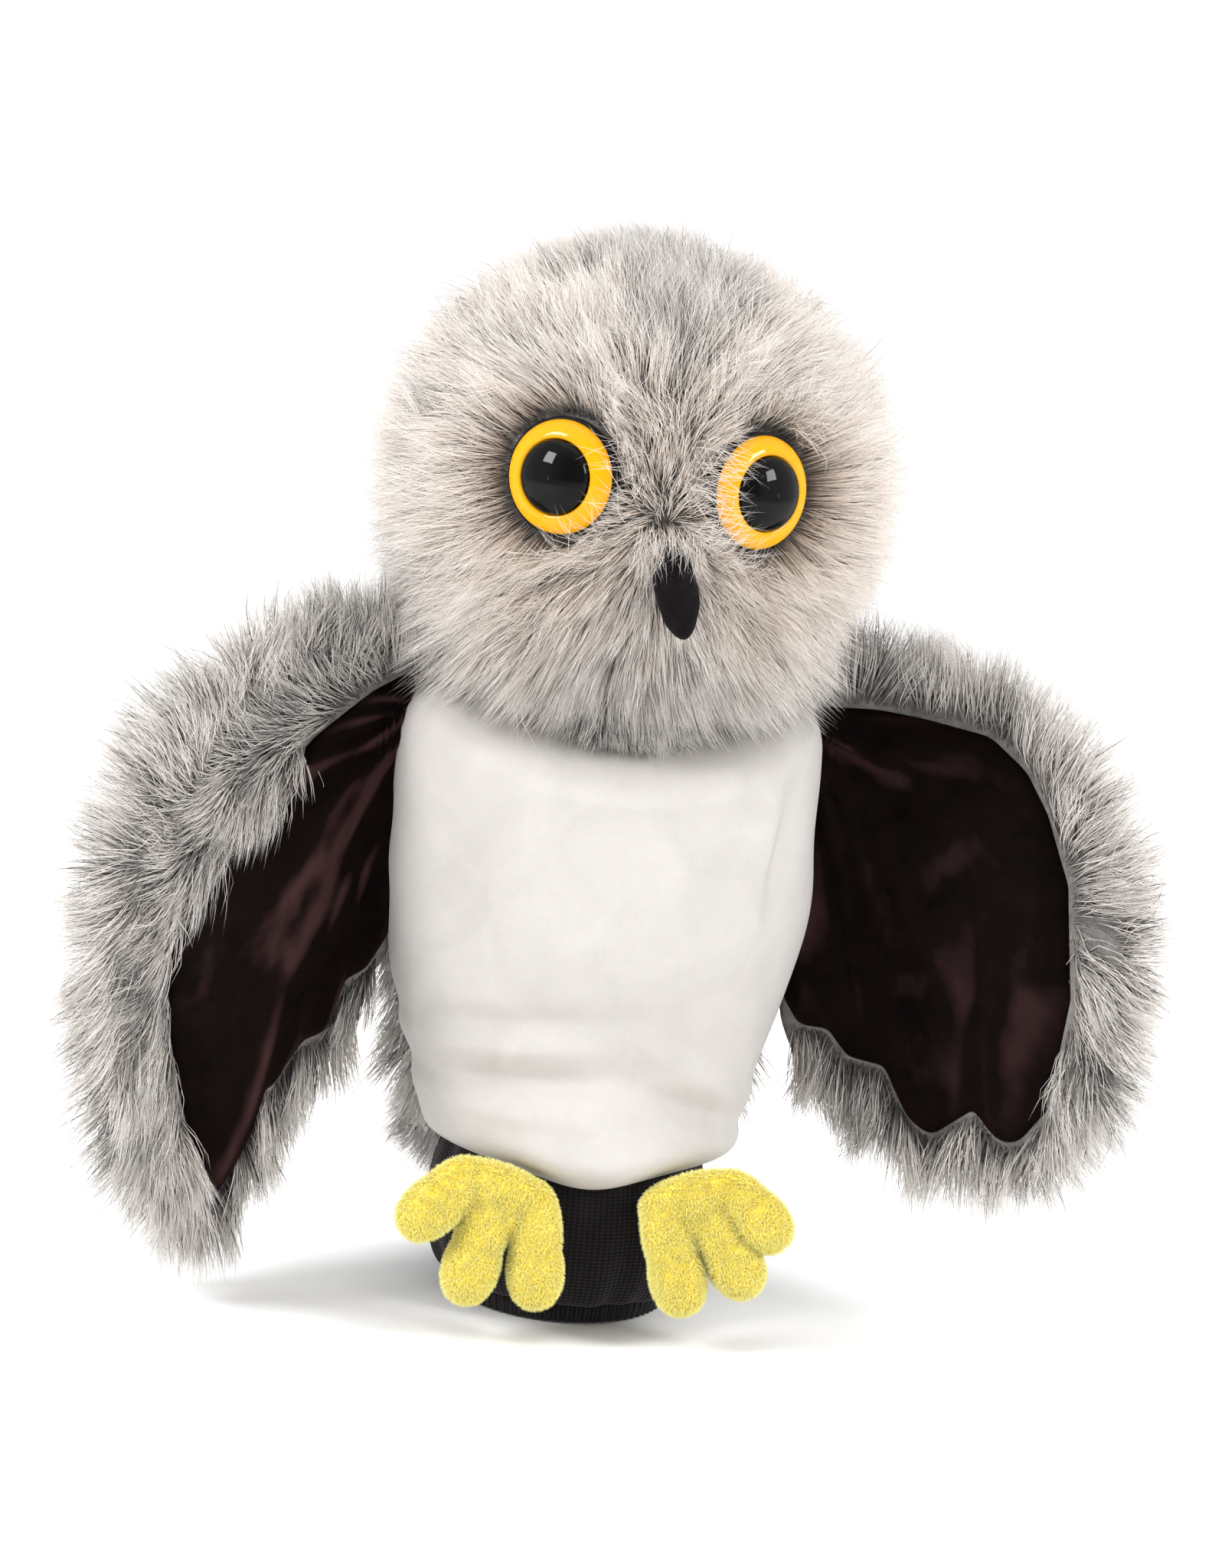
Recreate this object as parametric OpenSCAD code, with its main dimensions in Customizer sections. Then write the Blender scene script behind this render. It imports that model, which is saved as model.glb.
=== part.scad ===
// Snowy owl hand puppet. Millimetres, +Z up, the face towards -Y.
// The origin is the centre of the wrist cuff's mouth. Left is -X and right is +X, as seen from the front.

/* [Torso] */
// Height of the hem, where the knit sleeve joins the torso
hem_z = 42; // [40:1:44]
// Height at which the shoulders start to curve in
shoulder_z = 140; // [136:1:142]
// Height of the closed shoulder line, which the neck hole cuts
shoulder_top_z = 156; // [154:1:156]
// Half width at the widest level
torso_half_w = 57; // [54:0.5:57]
// Half depth at the widest level
torso_half_d = 46; // [43:0.5:46]
// Height of the widest level
waist_z = 125; // [120:1:130]
// Thickness of the padded belly and of the pressed back fur
torso_skin = 5; // [4:0.5:6]

/* [Sleeve] */
// Inner radius of the elastic cuff at rest
cuff_r = 26; // [24:0.5:28]
// Height of the cuff band
cuff_h = 9; // [7:0.5:10]
// Outer radius of the sleeve where it bags out
sleeve_r = 37; // [36:0.5:37.5]
// Thickness of the ribbed knit
knit_t = 1.6; // [1.2:0.1:2]

/* [Head] */
// Height of the head's centre
head_z = 220; // [219:1:224]
// Radius over the pressed fur
head_r = 60; // [58:0.5:60]
// Thickness of the pressed fur and its backing
head_skin = 8; // [7:0.5:8]
// Inner radius of the finger pocket
pocket_r = 9.5; // [9:0.5:10]
// Depth of the finger pocket
pocket_l = 45; // [40:1:46]

/* [Eyes and beak] */
// Radius of the yellow iris
iris_r = 14; // [13:0.5:14]
// Radius of the pupil
pupil_r = 9; // [8:0.5:10]
// Turn of each eye's place away from the face's middle, in degrees
eye_turn = 26; // [25:1:28]
// Length of the beak
beak_l = 26; // [24:1:27]
// Largest radius of the beak
beak_r = 5.6; // [5:0.1:6]

/* [Wings] */
// Width of a wing from its seam to its outer edge, along the cloth
wing_w = 77; // [74:1:80]
// Turn of the wing forwards at its root, in degrees
wing_sweep = 15; // [10:1:20]
// Further turn from the root to the outer edge, in degrees
wing_curl = 45; // [35:1:50]
// Half the finger space between fur and lining
wing_gap = 6; // [4:0.5:7]
// Thickness of the pressed wing fur
wing_fur = 5; // [4:0.5:6]

/* [Feet and tail] */
// Reach of the longest toe from the foot's heel
toe_reach = 36; // [32:1:37]
// Angle between neighbouring toes, in degrees
toe_spread = 34; // [30:1:36]
// Thickness of a stuffed foot
foot_t = 15; // [13:0.5:16]
// Length of the tail flap
tail_l = 46; // [40:1:48]
// Half width of the tail flap at its widest
tail_half_w = 38; // [34:1:40]

/* [Hidden] */
$fn = 72;

left = -1;
right = 1;
gap = 0.3;              // air between two pieces that only lie beside each other
far = 200;              // longer than the puppet's half size, for cutting blocks

hem_shrink_w = 21;      // how much narrower the hem is than the waist, each side
hem_shrink_d = 12;
top_shrink = 2.5;       // how much narrower the shoulders are than the waist, each side
neck_cut = 58;          // where the neck hole ends the shoulder curve, in degrees
armhole_low_z = 106;
armhole_high_z = 150;
armhole_half = 14;      // half width of the armhole round the torso, in degrees
lining_t = 1.2;

neck_r = 17.5;
neck_t = 2.5;
neck_low_z = 147;
neck_high_z = 157;
neck_hole_r = 26;       // in the bottom of the head

face_cut = 30;          // distance from the head's centre to the plane that ends the face panel
crown_half = 14;
chin_cut = 38;
back_half = 25;

eye_lift = 8.6;         // degrees above the head's equator
eye_seat = 57;          // distance from the head's centre to the eye's base plate
eye_face_turn = 33;     // which way the eye looks, in degrees
eye_face_lift = 5;
eye_plate_r = 14.6;
eye_plate_t = 2;
iris_h = 6.5;
pupil_h = 7.6;
shank_r = 2.6;
shank_l = 12;
washer_r = 8;
washer_t = 1.6;
washer_depth = 7.0;     // from the eye's seat to the washer's outer face

beak_y = -61;
beak_z = 200;
beak_tilt = -14;
beak_wall = 1;

wing_axis_x = 62;
wing_start = 3.5;       // from the seam's axis to the edge of the wing cloth
wing_mid_z = 95;
wing_rise = 70;         // from the middle level to the top edge
wing_drop = 63;         // from the middle level to the tip
wing_root_drop = -8;    // the lower root corner is above the middle level
tip_at = 0.75;          // the tip's place across the wing
wing_lining_t = 1.5;
tape_half = 8;          // half width of the stay tape's loop
tape_w = 1.8;
tape_t = 1.6;

foot_x = 29;
foot_heel_z = 40;
foot_y = -38.8;         // the sole's back face
foot_turn = 12;         // toes turned outwards, in degrees
foot_wall = 1.5;
heel_reach = 15;
toe_blunt = 0.4;

tail_top_z = 59;
tail_y = 41;
tail_bow = 70;          // radius that the flap is bowed to, round the torso
tail_fur_t = 5;
tail_wadding_t = 3;

// ---- cloth panels ----

function quad(a, b, c, d) = [[a, b, c], [a, c, d]];

// A closed panel between an outer and an inner grid of points. Rows go up, and columns go
// anticlockwise as seen from above.
module panel(outer, inner) {
    last_row = len(outer) - 1;
    last_col = len(outer[0]) - 1;
    cols = last_col + 1;
    under = (last_row + 1) * cols;
    function o(i, j) = i * cols + j;
    function n(i, j) = under + i * cols + j;
    faces = concat(
        [for (i = [0:last_row - 1], j = [0:last_col - 1])
            each quad(o(i, j), o(i + 1, j), o(i + 1, j + 1), o(i, j + 1))],
        [for (i = [0:last_row - 1], j = [0:last_col - 1])
            each quad(n(i, j), n(i, j + 1), n(i + 1, j + 1), n(i + 1, j))],
        [for (j = [0:last_col - 1]) each quad(o(0, j), o(0, j + 1), n(0, j + 1), n(0, j))],
        [for (j = [0:last_col - 1])
            each quad(o(last_row, j + 1), o(last_row, j), n(last_row, j), n(last_row, j + 1))],
        [for (i = [0:last_row - 1]) each quad(o(i + 1, 0), o(i, 0), n(i, 0), n(i + 1, 0))],
        [for (i = [0:last_row - 1])
            each quad(o(i, last_col), o(i + 1, last_col), n(i + 1, last_col), n(i, last_col))]
    );
    polyhedron(concat([for (r = outer) each r], [for (r = inner) each r]), faces);
}

// ---- torso ----

side_rows = 12;
dome_rows = 5;

function below(z) = pow((waist_z - z) / (waist_z - hem_z), 2);
function above(z) = pow((z - waist_z) / (shoulder_top_z - waist_z), 2);
function half_w(z) = torso_half_w - (z < waist_z ? hem_shrink_w * below(z) : top_shrink * above(z));
function half_d(z) = torso_half_d - (z < waist_z ? hem_shrink_d * below(z) : top_shrink * above(z));

// A point of the torso, in row k, at an angle round it, and at a depth under the outer surface.
function torso_point(k, angle, depth) =
    let (
        lift = max(0, k - side_rows) / dome_rows * neck_cut,
        z = hem_z + (shoulder_z - hem_z) * min(k, side_rows) / side_rows,
        w = (half_w(z) - depth) * cos(lift),
        d = (half_d(z) - depth) * cos(lift),
        rise = (shoulder_top_z - shoulder_z - depth) * sin(lift)
    )
    [w * cos(angle), d * sin(angle), z + rise];

// How far the cloth's edge stands back from the side seam, in degrees.
function seam_back(k) =
    let (z = hem_z + (shoulder_z - hem_z) * k / side_rows)
    z > armhole_low_z && z < armhole_high_z
        ? max(0.4, armhole_half * sin(180 * (z - armhole_low_z) / (armhole_high_z - armhole_low_z)))
        : 0.4;

function torso_grid(start, depth) = [
    for (k = [0:side_rows + dome_rows])
        let (edge = seam_back(min(k, side_rows + 0.5)))
        [for (step = [0:16]) torso_point(k, start + edge + (180 - 2 * edge) * step / 16, depth)]
];

module torso_half(start, depth, thick) {
    panel(torso_grid(start, depth), torso_grid(start, depth + thick));
}

module belly_panel() color("whitesmoke") torso_half(180, 0, torso_skin);

module back_panel() color("silver") torso_half(0, 0, torso_skin);

module hand_lining() color([0.12, 0.1, 0.1]) {
    torso_half(0, torso_skin + gap, lining_t);
    torso_half(180, torso_skin + gap, lining_t);
}

// ---- sleeve ----

bag_z = 24;             // the sleeve is widest here
hem_r = 35;

function bag_r(z) = z > bag_z
    ? hem_r + (sleeve_r - hem_r) * cos(90 * (z - bag_z) / (hem_z - bag_z))
    : cuff_r + 3 + (sleeve_r - cuff_r - 3) * sqrt(max(0, 1 - pow((bag_z - z) / (bag_z - cuff_h + 2), 2)));

module knit_sleeve() color([0.07, 0.06, 0.06]) {
    levels = [for (i = [0:11]) cuff_h + gap + (hem_z - gap - cuff_h - gap) * i / 11];
    rotate_extrude()
        polygon(concat(
            [for (z = levels) [bag_r(z), z]],
            [for (i = [11:-1:0]) [bag_r(levels[i]) - knit_t, levels[i]]]
        ));
}

module wrist_cuff() color([0.1, 0.09, 0.09]) {
    difference() {
        cylinder(r = cuff_r + knit_t + 1, h = cuff_h);
        translate([0, 0, -1]) cylinder(r = cuff_r, h = cuff_h + 2);
    }
}

module neck_gusset() color("dimgray") {
    translate([0, 0, neck_low_z]) difference() {
        cylinder(r = neck_r, h = neck_high_z - neck_low_z);
        translate([0, 0, -1]) cylinder(r = neck_r - neck_t, h = far);
    }
}

// ---- head: everything below is drawn about the head's centre, then lifted ----

module at_head() translate([0, 0, head_z]) children();

// All space beyond a plane across one axis. The axis is 0, 1 or 2, and the sign says which side.
module beyond(axis, at, side) {
    shift = [for (i = [0:2]) i == axis ? at + side * far : 0];
    translate(shift) cube(2 * far, center = true);
}

// A plate-to-dome frame with +Z looking out of the eye.
module at_eye(side) {
    out = eye_seat * cos(eye_lift);
    translate([side * out * sin(eye_turn), -out * cos(eye_turn), eye_seat * sin(eye_lift)])
        rotate([0, 0, side * eye_face_turn])
            rotate([90 - eye_face_lift, 0, 0])
                children();
}

module beak_shape(inset) {
    steps = 14;
    l = beak_l - 2 * inset;
    profile = [for (i = [0:steps]) [
        (beak_r - inset) * pow(sin(180 * i / steps), 0.6) * (0.62 + 0.38 * i / steps),
        -l / 2 + l * (1 - cos(180 * i / steps)) / 2
    ]];
    translate([0, beak_y, beak_z - head_z]) rotate([beak_tilt, 0, 0])
        rotate_extrude() polygon(profile);
}

module head_shell() {
    difference() {
        sphere(r = head_r);
        sphere(r = head_r - head_skin);
        translate([0, 0, -far]) cylinder(r = neck_hole_r, h = far);
    }
}

module face_panel() color([0.78, 0.73, 0.69]) at_head() {
    difference() {
        intersection() {
            head_shell();
            beyond(1, -face_cut, -1);
        }
        for (side = [left, right]) at_eye(side) {
            translate([0, 0, -eye_plate_t + gap / 2]) cylinder(r = eye_plate_r + gap, h = 3 * iris_h);
            translate([0, 0, -shank_l]) cylinder(r = shank_r + gap, h = shank_l);
        }
        beak_shape(-gap);
    }
}

module crown_gusset() color([0.42, 0.41, 0.4]) at_head() {
    intersection() {
        head_shell();
        beyond(1, -face_cut + gap, 1);
        cube([2 * crown_half, 2 * far, 2 * far], center = true);
        beyond(2, 0, 1);
    }
}

module side_panel(side) at_head() {
    difference() {
        intersection() {
            head_shell();
            beyond(1, -face_cut + gap, 1);
            beyond(2, -chin_cut, 1);
            beyond(0, side * gap / 2, side);
        }
        translate([-crown_half - gap, -far, -gap]) cube([2 * (crown_half + gap), 2 * far, far]);
        translate([-back_half - gap, 0, -far]) cube([2 * (back_half + gap), far, far + gap / 2]);
    }
}

module left_head_panel() color([0.62, 0.61, 0.6]) side_panel(left);

module right_head_panel() color([0.62, 0.61, 0.6]) side_panel(right);

module back_head_panel() color([0.55, 0.54, 0.53]) at_head() {
    intersection() {
        head_shell();
        beyond(1, gap, 1);
        beyond(2, -chin_cut, 1);
        beyond(2, -gap, -1);
        cube([2 * back_half, 2 * far, 2 * far], center = true);
    }
}

module chin_gusset() color([0.7, 0.69, 0.68]) at_head() {
    intersection() {
        head_shell();
        beyond(1, -face_cut + gap, 1);
        beyond(2, -chin_cut - gap, -1);
    }
}

pocket_floor = -head_z + neck_high_z + 15;      // the pocket's mouth, from the head's centre
pocket_wall = 1.2;

module head_stuffing() color("ghostwhite") at_head() {
    difference() {
        sphere(r = head_r - head_skin - gap);
        beyond(2, pocket_floor, -1);
        translate([0, 0, pocket_floor - 1])
            cylinder(r = pocket_r + pocket_wall + gap, h = pocket_l + pocket_wall + gap + 1);
        for (side = [left, right]) at_eye(side) {
            translate([0, 0, -shank_l - 1]) cylinder(r = shank_r + gap, h = shank_l);
            translate([0, 0, -washer_depth - washer_t - gap]) cylinder(r = washer_r + gap, h = 2 * washer_depth);
        }
    }
}

module finger_pocket() color([0.1, 0.09, 0.09]) at_head() translate([0, 0, pocket_floor]) {
    difference() {
        cylinder(r = pocket_r + pocket_wall, h = pocket_l + pocket_wall);
        translate([0, 0, -1]) cylinder(r = pocket_r, h = pocket_l + 1);
    }
}

// A dome of a given base radius and height that stands on z = 0.
module dome(base, h) {
    ball = (base * base + h * h) / (2 * h);
    intersection() {
        translate([0, 0, h - ball]) sphere(r = ball);
        cylinder(r = base + 1, h = h + 1);
    }
}

module eye_base(side) at_head() at_eye(side) {
    translate([0, 0, -eye_plate_t + gap]) cylinder(r = eye_plate_r, h = eye_plate_t - gap);
    translate([0, 0, -shank_l]) cylinder(r = shank_r, h = shank_l - eye_plate_t / 2);
}

module eye_iris(side) at_head() at_eye(side) {
    difference() {
        dome(iris_r, iris_h);
        translate([0, 0, -1]) cylinder(r = pupil_r, h = 3 * iris_h);
    }
}

module eye_pupil(side) at_head() at_eye(side) {
    intersection() {
        dome(iris_r, pupil_h);
        cylinder(r = pupil_r - 0.05, h = 3 * iris_h);
    }
}

module eye_washer(side) at_head() at_eye(side) translate([0, 0, -washer_depth - washer_t]) {
    difference() {
        cylinder(r = washer_r, h = washer_t);
        translate([0, 0, -1]) cylinder(r = shank_r + 0.1, h = washer_t + 2);
    }
}

module left_eye_base() color("black") eye_base(left);

module left_eye_iris() color("gold") eye_iris(left);

module left_eye_pupil() color("black") eye_pupil(left);

module left_eye_washer() color("white") eye_washer(left);

module right_eye_base() color("black") eye_base(right);

module right_eye_iris() color("gold") eye_iris(right);

module right_eye_pupil() color("black") eye_pupil(right);

module right_eye_washer() color("white") eye_washer(right);

module beak_cover() color([0.08, 0.07, 0.07]) at_head() {
    difference() {
        beak_shape(0);
        beak_shape(beak_wall);
    }
}

module beak_stuffing() color("ghostwhite") at_head() beak_shape(beak_wall + 0.1);

// ---- wings: drawn for the right side, and mirrored for the left ----

wing_cols = 12;
wing_rows = 12;

function wing_top(s) = wing_mid_z + wing_rise * sqrt(max(0, 1 - pow(s, 3)));
function wing_low(s) = wing_mid_z - (s < tip_at
    ? wing_root_drop + (wing_drop - wing_root_drop) * sin(90 * s / tip_at)
    : wing_drop * sqrt(max(0, 1 - pow((s - tip_at) / (1 - tip_at), 2))));

// A point of the wing's middle surface, pushed out by a distance towards the fur side.
// s goes from the seam to the outer edge, and v from the lower edge to the upper.
function wing_point(s, v, push) =
    let (
        turn = wing_sweep + wing_curl * s,
        r = wing_w * 180 / PI / wing_curl,
        x = wing_axis_x + wing_start + r * (sin(turn) - sin(wing_sweep)),
        y = -r * (cos(wing_sweep) - cos(turn))
    )
    [x + push * sin(turn), y + push * cos(turn), wing_low(s) + (wing_top(s) - wing_low(s)) * v];

function wing_swell(s, v) = wing_gap * sqrt(max(0, 1 - pow(2 * v - 1, 4))) * sqrt(max(0, 1 - pow(s, 4)));

// The swell at the edges is nothing, so both layers meet there.
function wing_grid(facing, push) = [
    for (i = [0:wing_rows]) [
        for (j = [0:wing_cols])
            let (s = 0.985 * j / wing_cols, v = i / wing_rows)
            wing_point(s, v, facing * (wing_swell(s, v) + push))
    ]
];

module wing_fur_right() panel(wing_grid(1, gap / 2 + wing_fur), wing_grid(1, gap / 2));

module wing_lining_right() panel(wing_grid(-1, gap / 2), wing_grid(-1, gap / 2 + wing_lining_t));

module loop_outline(half) {
    for (z = [armhole_low_z + tape_half, armhole_high_z - tape_half]) translate([0, z]) circle(r = half);
    translate([-half, armhole_low_z + tape_half])
        square([2 * half, armhole_high_z - armhole_low_z - 2 * tape_half]);
}

// The loop of tape that stays the armhole, which the finger passes through.
module wing_tape(side) {
    translate([side * wing_axis_x - tape_t / 2, 0, 0]) rotate([90, 0, 90])
        linear_extrude(height = tape_t) difference() {
            loop_outline(tape_half);
            loop_outline(tape_half - tape_w);
        }
}

module left_wing_tape() color("dimgray") wing_tape(left);

module right_wing_tape() color("dimgray") wing_tape(right);

module left_wing_fur() color("silver") mirror([1, 0, 0]) wing_fur_right();

module right_wing_fur() color("silver") wing_fur_right();

module left_wing_lining() color([0.16, 0.09, 0.09]) mirror([1, 0, 0]) wing_lining_right();

module right_wing_lining() color([0.16, 0.09, 0.09]) wing_lining_right();

// ---- feet ----

// The outline's reach at an angle from the middle toe. A blunt power makes the toes plump.
function foot_reach(a, inset) =
    heel_reach - inset + (abs(a) <= 1.5 * toe_spread
        ? (toe_reach - heel_reach) * pow((1 + cos(360 * a / toe_spread)) / 2, toe_blunt)
        : 0);

module foot_slab(side, inset, front, back) {
    translate([side * foot_x, -back, foot_heel_z]) rotate([90, 0, 0])
        linear_extrude(height = front - back)
            polygon([for (a = [-180:4:176])
                let (way = a + side * foot_turn, r = foot_reach(a, inset))
                [r * sin(way), -r * cos(way) * (abs(a) > 90 ? 0.3 : 1)]]);
}

module foot_upper(side) color("khaki") {
    difference() {
        foot_slab(side, 0, -foot_y + foot_t, -foot_y + foot_wall);
        foot_slab(side, foot_wall, -foot_y + foot_t - foot_wall, -foot_y);
    }
}

module foot_sole(side) color("khaki") foot_slab(side, 0, -foot_y + foot_wall, -foot_y);

module foot_stuffing(side) color("ghostwhite") {
    foot_slab(side, foot_wall + gap, -foot_y + foot_t - foot_wall - gap, -foot_y + foot_wall + gap);
}

module left_foot_upper() foot_upper(left);

module left_foot_sole() foot_sole(left);

module left_foot_stuffing() foot_stuffing(left);

module right_foot_upper() foot_upper(right);

module right_foot_sole() foot_sole(right);

module right_foot_stuffing() foot_stuffing(right);

// ---- tail ----

function tail_half(t) = tail_half_w * (0.72 + 0.28 * sin(180 * min(1, t * 1.3)))
    * sqrt(max(0.02, 1 - pow(t, 5)));

// Rows go up, and columns go anticlockwise as seen from above, which is from +X to -X behind.
function tail_grid(push) = [
    for (i = [10:-1:0])
        let (t = i / 10, z = tail_top_z - tail_l * t)
        [for (j = [0:12])
            let (turn = tail_half(t) / tail_bow * 180 / PI * (1 - j / 6))
            [(tail_bow + push) * sin(turn), tail_y - tail_bow + (tail_bow + push) * cos(turn), z]]
];

module tail_layer(from, to) panel(tail_grid(to), tail_grid(from));

module tail_lining() color([0.16, 0.09, 0.09]) tail_layer(0, lining_t);

module tail_wadding() color("ghostwhite") tail_layer(lining_t + gap, lining_t + gap + tail_wadding_t);

module tail_fur() color("silver") {
    inner = lining_t + 2 * gap + tail_wadding_t;
    tail_layer(inner, inner + tail_fur_t);
}

belly_panel();
back_panel();
hand_lining();
knit_sleeve();
wrist_cuff();
neck_gusset();
head_stuffing();
finger_pocket();
face_panel();
crown_gusset();
left_head_panel();
right_head_panel();
back_head_panel();
chin_gusset();
left_eye_base();
left_eye_iris();
left_eye_pupil();
left_eye_washer();
right_eye_base();
right_eye_iris();
right_eye_pupil();
right_eye_washer();
beak_cover();
beak_stuffing();
left_wing_tape();
left_wing_fur();
left_wing_lining();
right_wing_tape();
right_wing_fur();
right_wing_lining();
left_foot_upper();
left_foot_sole();
left_foot_stuffing();
right_foot_upper();
right_foot_sole();
right_foot_stuffing();
tail_fur();
tail_lining();
tail_wadding();
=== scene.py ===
# %% [markdown]
# # A snowy owl hand puppet in long pile fur
# The puppet is a bag of cloth panels: a stuffed head, a velour belly, fur wings lined with velour,
# stuffed feet, a tail and a knit sleeve for the hand. Nearly all of what one sees is pile, so most of
# this lesson is about growing strands: where they root, which way they are combed, how they clump,
# and how their colour runs from a dark root to a pale tip. The hard frame comes first, already made.

# %% Load the frame
import math

import bpy
import numpy as np
from mathutils import Matrix, Vector
from mathutils.kdtree import KDTree


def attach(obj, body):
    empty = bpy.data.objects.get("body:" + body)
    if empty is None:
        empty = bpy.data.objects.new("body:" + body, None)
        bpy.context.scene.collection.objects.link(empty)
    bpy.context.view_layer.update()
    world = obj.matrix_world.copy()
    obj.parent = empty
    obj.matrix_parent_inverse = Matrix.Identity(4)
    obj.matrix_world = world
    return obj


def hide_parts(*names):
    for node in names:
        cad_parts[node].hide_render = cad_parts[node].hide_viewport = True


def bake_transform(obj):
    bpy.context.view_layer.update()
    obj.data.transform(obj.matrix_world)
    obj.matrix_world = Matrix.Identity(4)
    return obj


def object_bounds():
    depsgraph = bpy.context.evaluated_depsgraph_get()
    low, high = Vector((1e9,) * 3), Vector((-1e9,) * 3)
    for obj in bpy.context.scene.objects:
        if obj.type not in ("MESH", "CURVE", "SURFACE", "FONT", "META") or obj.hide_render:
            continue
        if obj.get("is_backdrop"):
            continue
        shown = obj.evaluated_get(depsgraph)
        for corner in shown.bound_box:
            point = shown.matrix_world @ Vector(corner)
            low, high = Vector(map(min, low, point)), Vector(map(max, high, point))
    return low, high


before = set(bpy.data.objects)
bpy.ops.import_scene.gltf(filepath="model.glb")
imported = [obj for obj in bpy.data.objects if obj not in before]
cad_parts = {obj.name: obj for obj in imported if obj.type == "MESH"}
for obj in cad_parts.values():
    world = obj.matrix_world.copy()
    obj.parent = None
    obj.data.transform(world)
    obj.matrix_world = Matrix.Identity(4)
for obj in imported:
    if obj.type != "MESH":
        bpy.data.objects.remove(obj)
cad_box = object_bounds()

MM = 0.001

# %% [markdown]
# ## Camera, light and floor
# The puppet is looked at from a little above and a little to its right, and it leans a few degrees, as
# a puppet does on a hand. The camera rolls, so that the model itself can stand straight on its frame.
# A long lens keeps the head and feet in proportion. Broad soft lights and a pale room suit pale fur:
# dark fur roots give all the contrast that is needed, and two softboxes draw windows in the eyes. The
# room is dimmer behind the camera, so that the black pupils stay black.

# %% Camera
VIEW_AZIMUTH = math.radians(-10)
VIEW_LIFT = math.radians(11)
VIEW_ROLL = math.radians(5.5)
VIEW_DISTANCE = 1.3
VIEW_HEIGHT = 0.4096                     # how tall a stretch of the puppet's own plane fills the frame
VIEW_TARGET = Vector((0.0016, -0.0008, 0.1385))
SENSOR = 36.0

back = Vector((math.sin(VIEW_AZIMUTH) * math.cos(VIEW_LIFT),
               -math.cos(VIEW_AZIMUTH) * math.cos(VIEW_LIFT), math.sin(VIEW_LIFT)))
side = Vector((math.cos(VIEW_AZIMUTH), math.sin(VIEW_AZIMUTH), 0))
rise = back.cross(side)
turned_side = side * math.cos(VIEW_ROLL) + rise * math.sin(VIEW_ROLL)
turned_rise = rise * math.cos(VIEW_ROLL) - side * math.sin(VIEW_ROLL)
camera = bpy.data.objects.new("camera", bpy.data.cameras.new("camera"))
bpy.context.scene.collection.objects.link(camera)
camera.matrix_world = Matrix((
    (turned_side.x, turned_rise.x, back.x, VIEW_TARGET.x + VIEW_DISTANCE * back.x),
    (turned_side.y, turned_rise.y, back.y, VIEW_TARGET.y + VIEW_DISTANCE * back.y),
    (turned_side.z, turned_rise.z, back.z, VIEW_TARGET.z + VIEW_DISTANCE * back.z),
    (0, 0, 0, 1)))
camera.data.sensor_width = SENSOR
camera.data.lens = SENSOR * VIEW_DISTANCE / VIEW_HEIGHT
bpy.context.scene.camera = camera
print("camera:", [round(v, 3) for v in camera.location], "lens", round(camera.data.lens, 1))

# %% Room and lights


def settings(node, **values):
    """Sets a node's inputs by name, with _ for each space."""
    for name, value in values.items():
        node.inputs[name.replace("_", " ")].default_value = value


world = bpy.data.worlds.new("studio")
bpy.context.scene.world = world
world.use_nodes = True
room_nodes, room_links = world.node_tree.nodes, world.node_tree.links
heading = room_nodes.new("ShaderNodeTexCoord")
toward_us = room_nodes.new("ShaderNodeVectorMath")
toward_us.operation = "DOT_PRODUCT"
toward_us.inputs[1].default_value = (-0.15, -0.97, 0.1)
dim = room_nodes.new("ShaderNodeMapRange")
settings(dim, From_Min=0.55, From_Max=0.85, To_Min=1.16, To_Max=0.5)
room_links.new(heading.outputs["Generated"], toward_us.inputs[0])
room_links.new(toward_us.outputs["Value"], dim.inputs["Value"])
room_links.new(dim.outputs["Result"], room_nodes["Background"].inputs["Strength"])
settings(room_nodes["Background"], Color=(1.0, 1.0, 1.0, 1))
bpy.context.scene.view_settings.view_transform = "Standard"


def softbox(name, place, aim, size, power):
    """A square area light that looks from one point to another."""
    light = bpy.data.lights.new(name, "AREA")
    light.shape = "RECTANGLE"
    light.size, light.size_y = size
    light.energy = power
    lamp = bpy.data.objects.new(name, light)
    bpy.context.scene.collection.objects.link(lamp)
    lamp.location = place
    lamp.rotation_euler = (Vector(aim) - Vector(place)).to_track_quat("-Z", "Y").to_euler()
    return lamp


softbox("key", (-1.05, -0.45, 0.75), (0, 0, 0.17), (0.34, 0.4), 11.0)
softbox("fill", (0.95, -0.65, 0.75), (0, 0, 0.17), (0.36, 0.4), 9.0)
softbox("top", (0.0, 0.1, 1.2), (0, 0, 0.1), (0.9, 0.9), 2.0)
bpy.ops.mesh.primitive_plane_add(size=6, location=(0, 0, -0.0006))
floor = bpy.context.object
floor.name = "pale_floor"
paper = bpy.data.materials.new("paper")
paper.use_nodes = True
settings(paper.node_tree.nodes["Principled BSDF"], Base_Color=(0.98, 0.98, 0.98, 1), Roughness=0.9,
         Specular_IOR_Level=0.0)
floor.data.materials.append(paper)
floor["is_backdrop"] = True

# %% [markdown]
# ## Making meshes from arrays
# Pile has hundreds of thousands of faces, so every mesh here is built from numpy arrays in one go and
# never face by face. A cloth panel is a grid of points with a little thickness, so it is a closed solid.
# All shapes are worked out in millimetres, and only the last step turns them into metres.

# %% Mesh helpers


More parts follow.
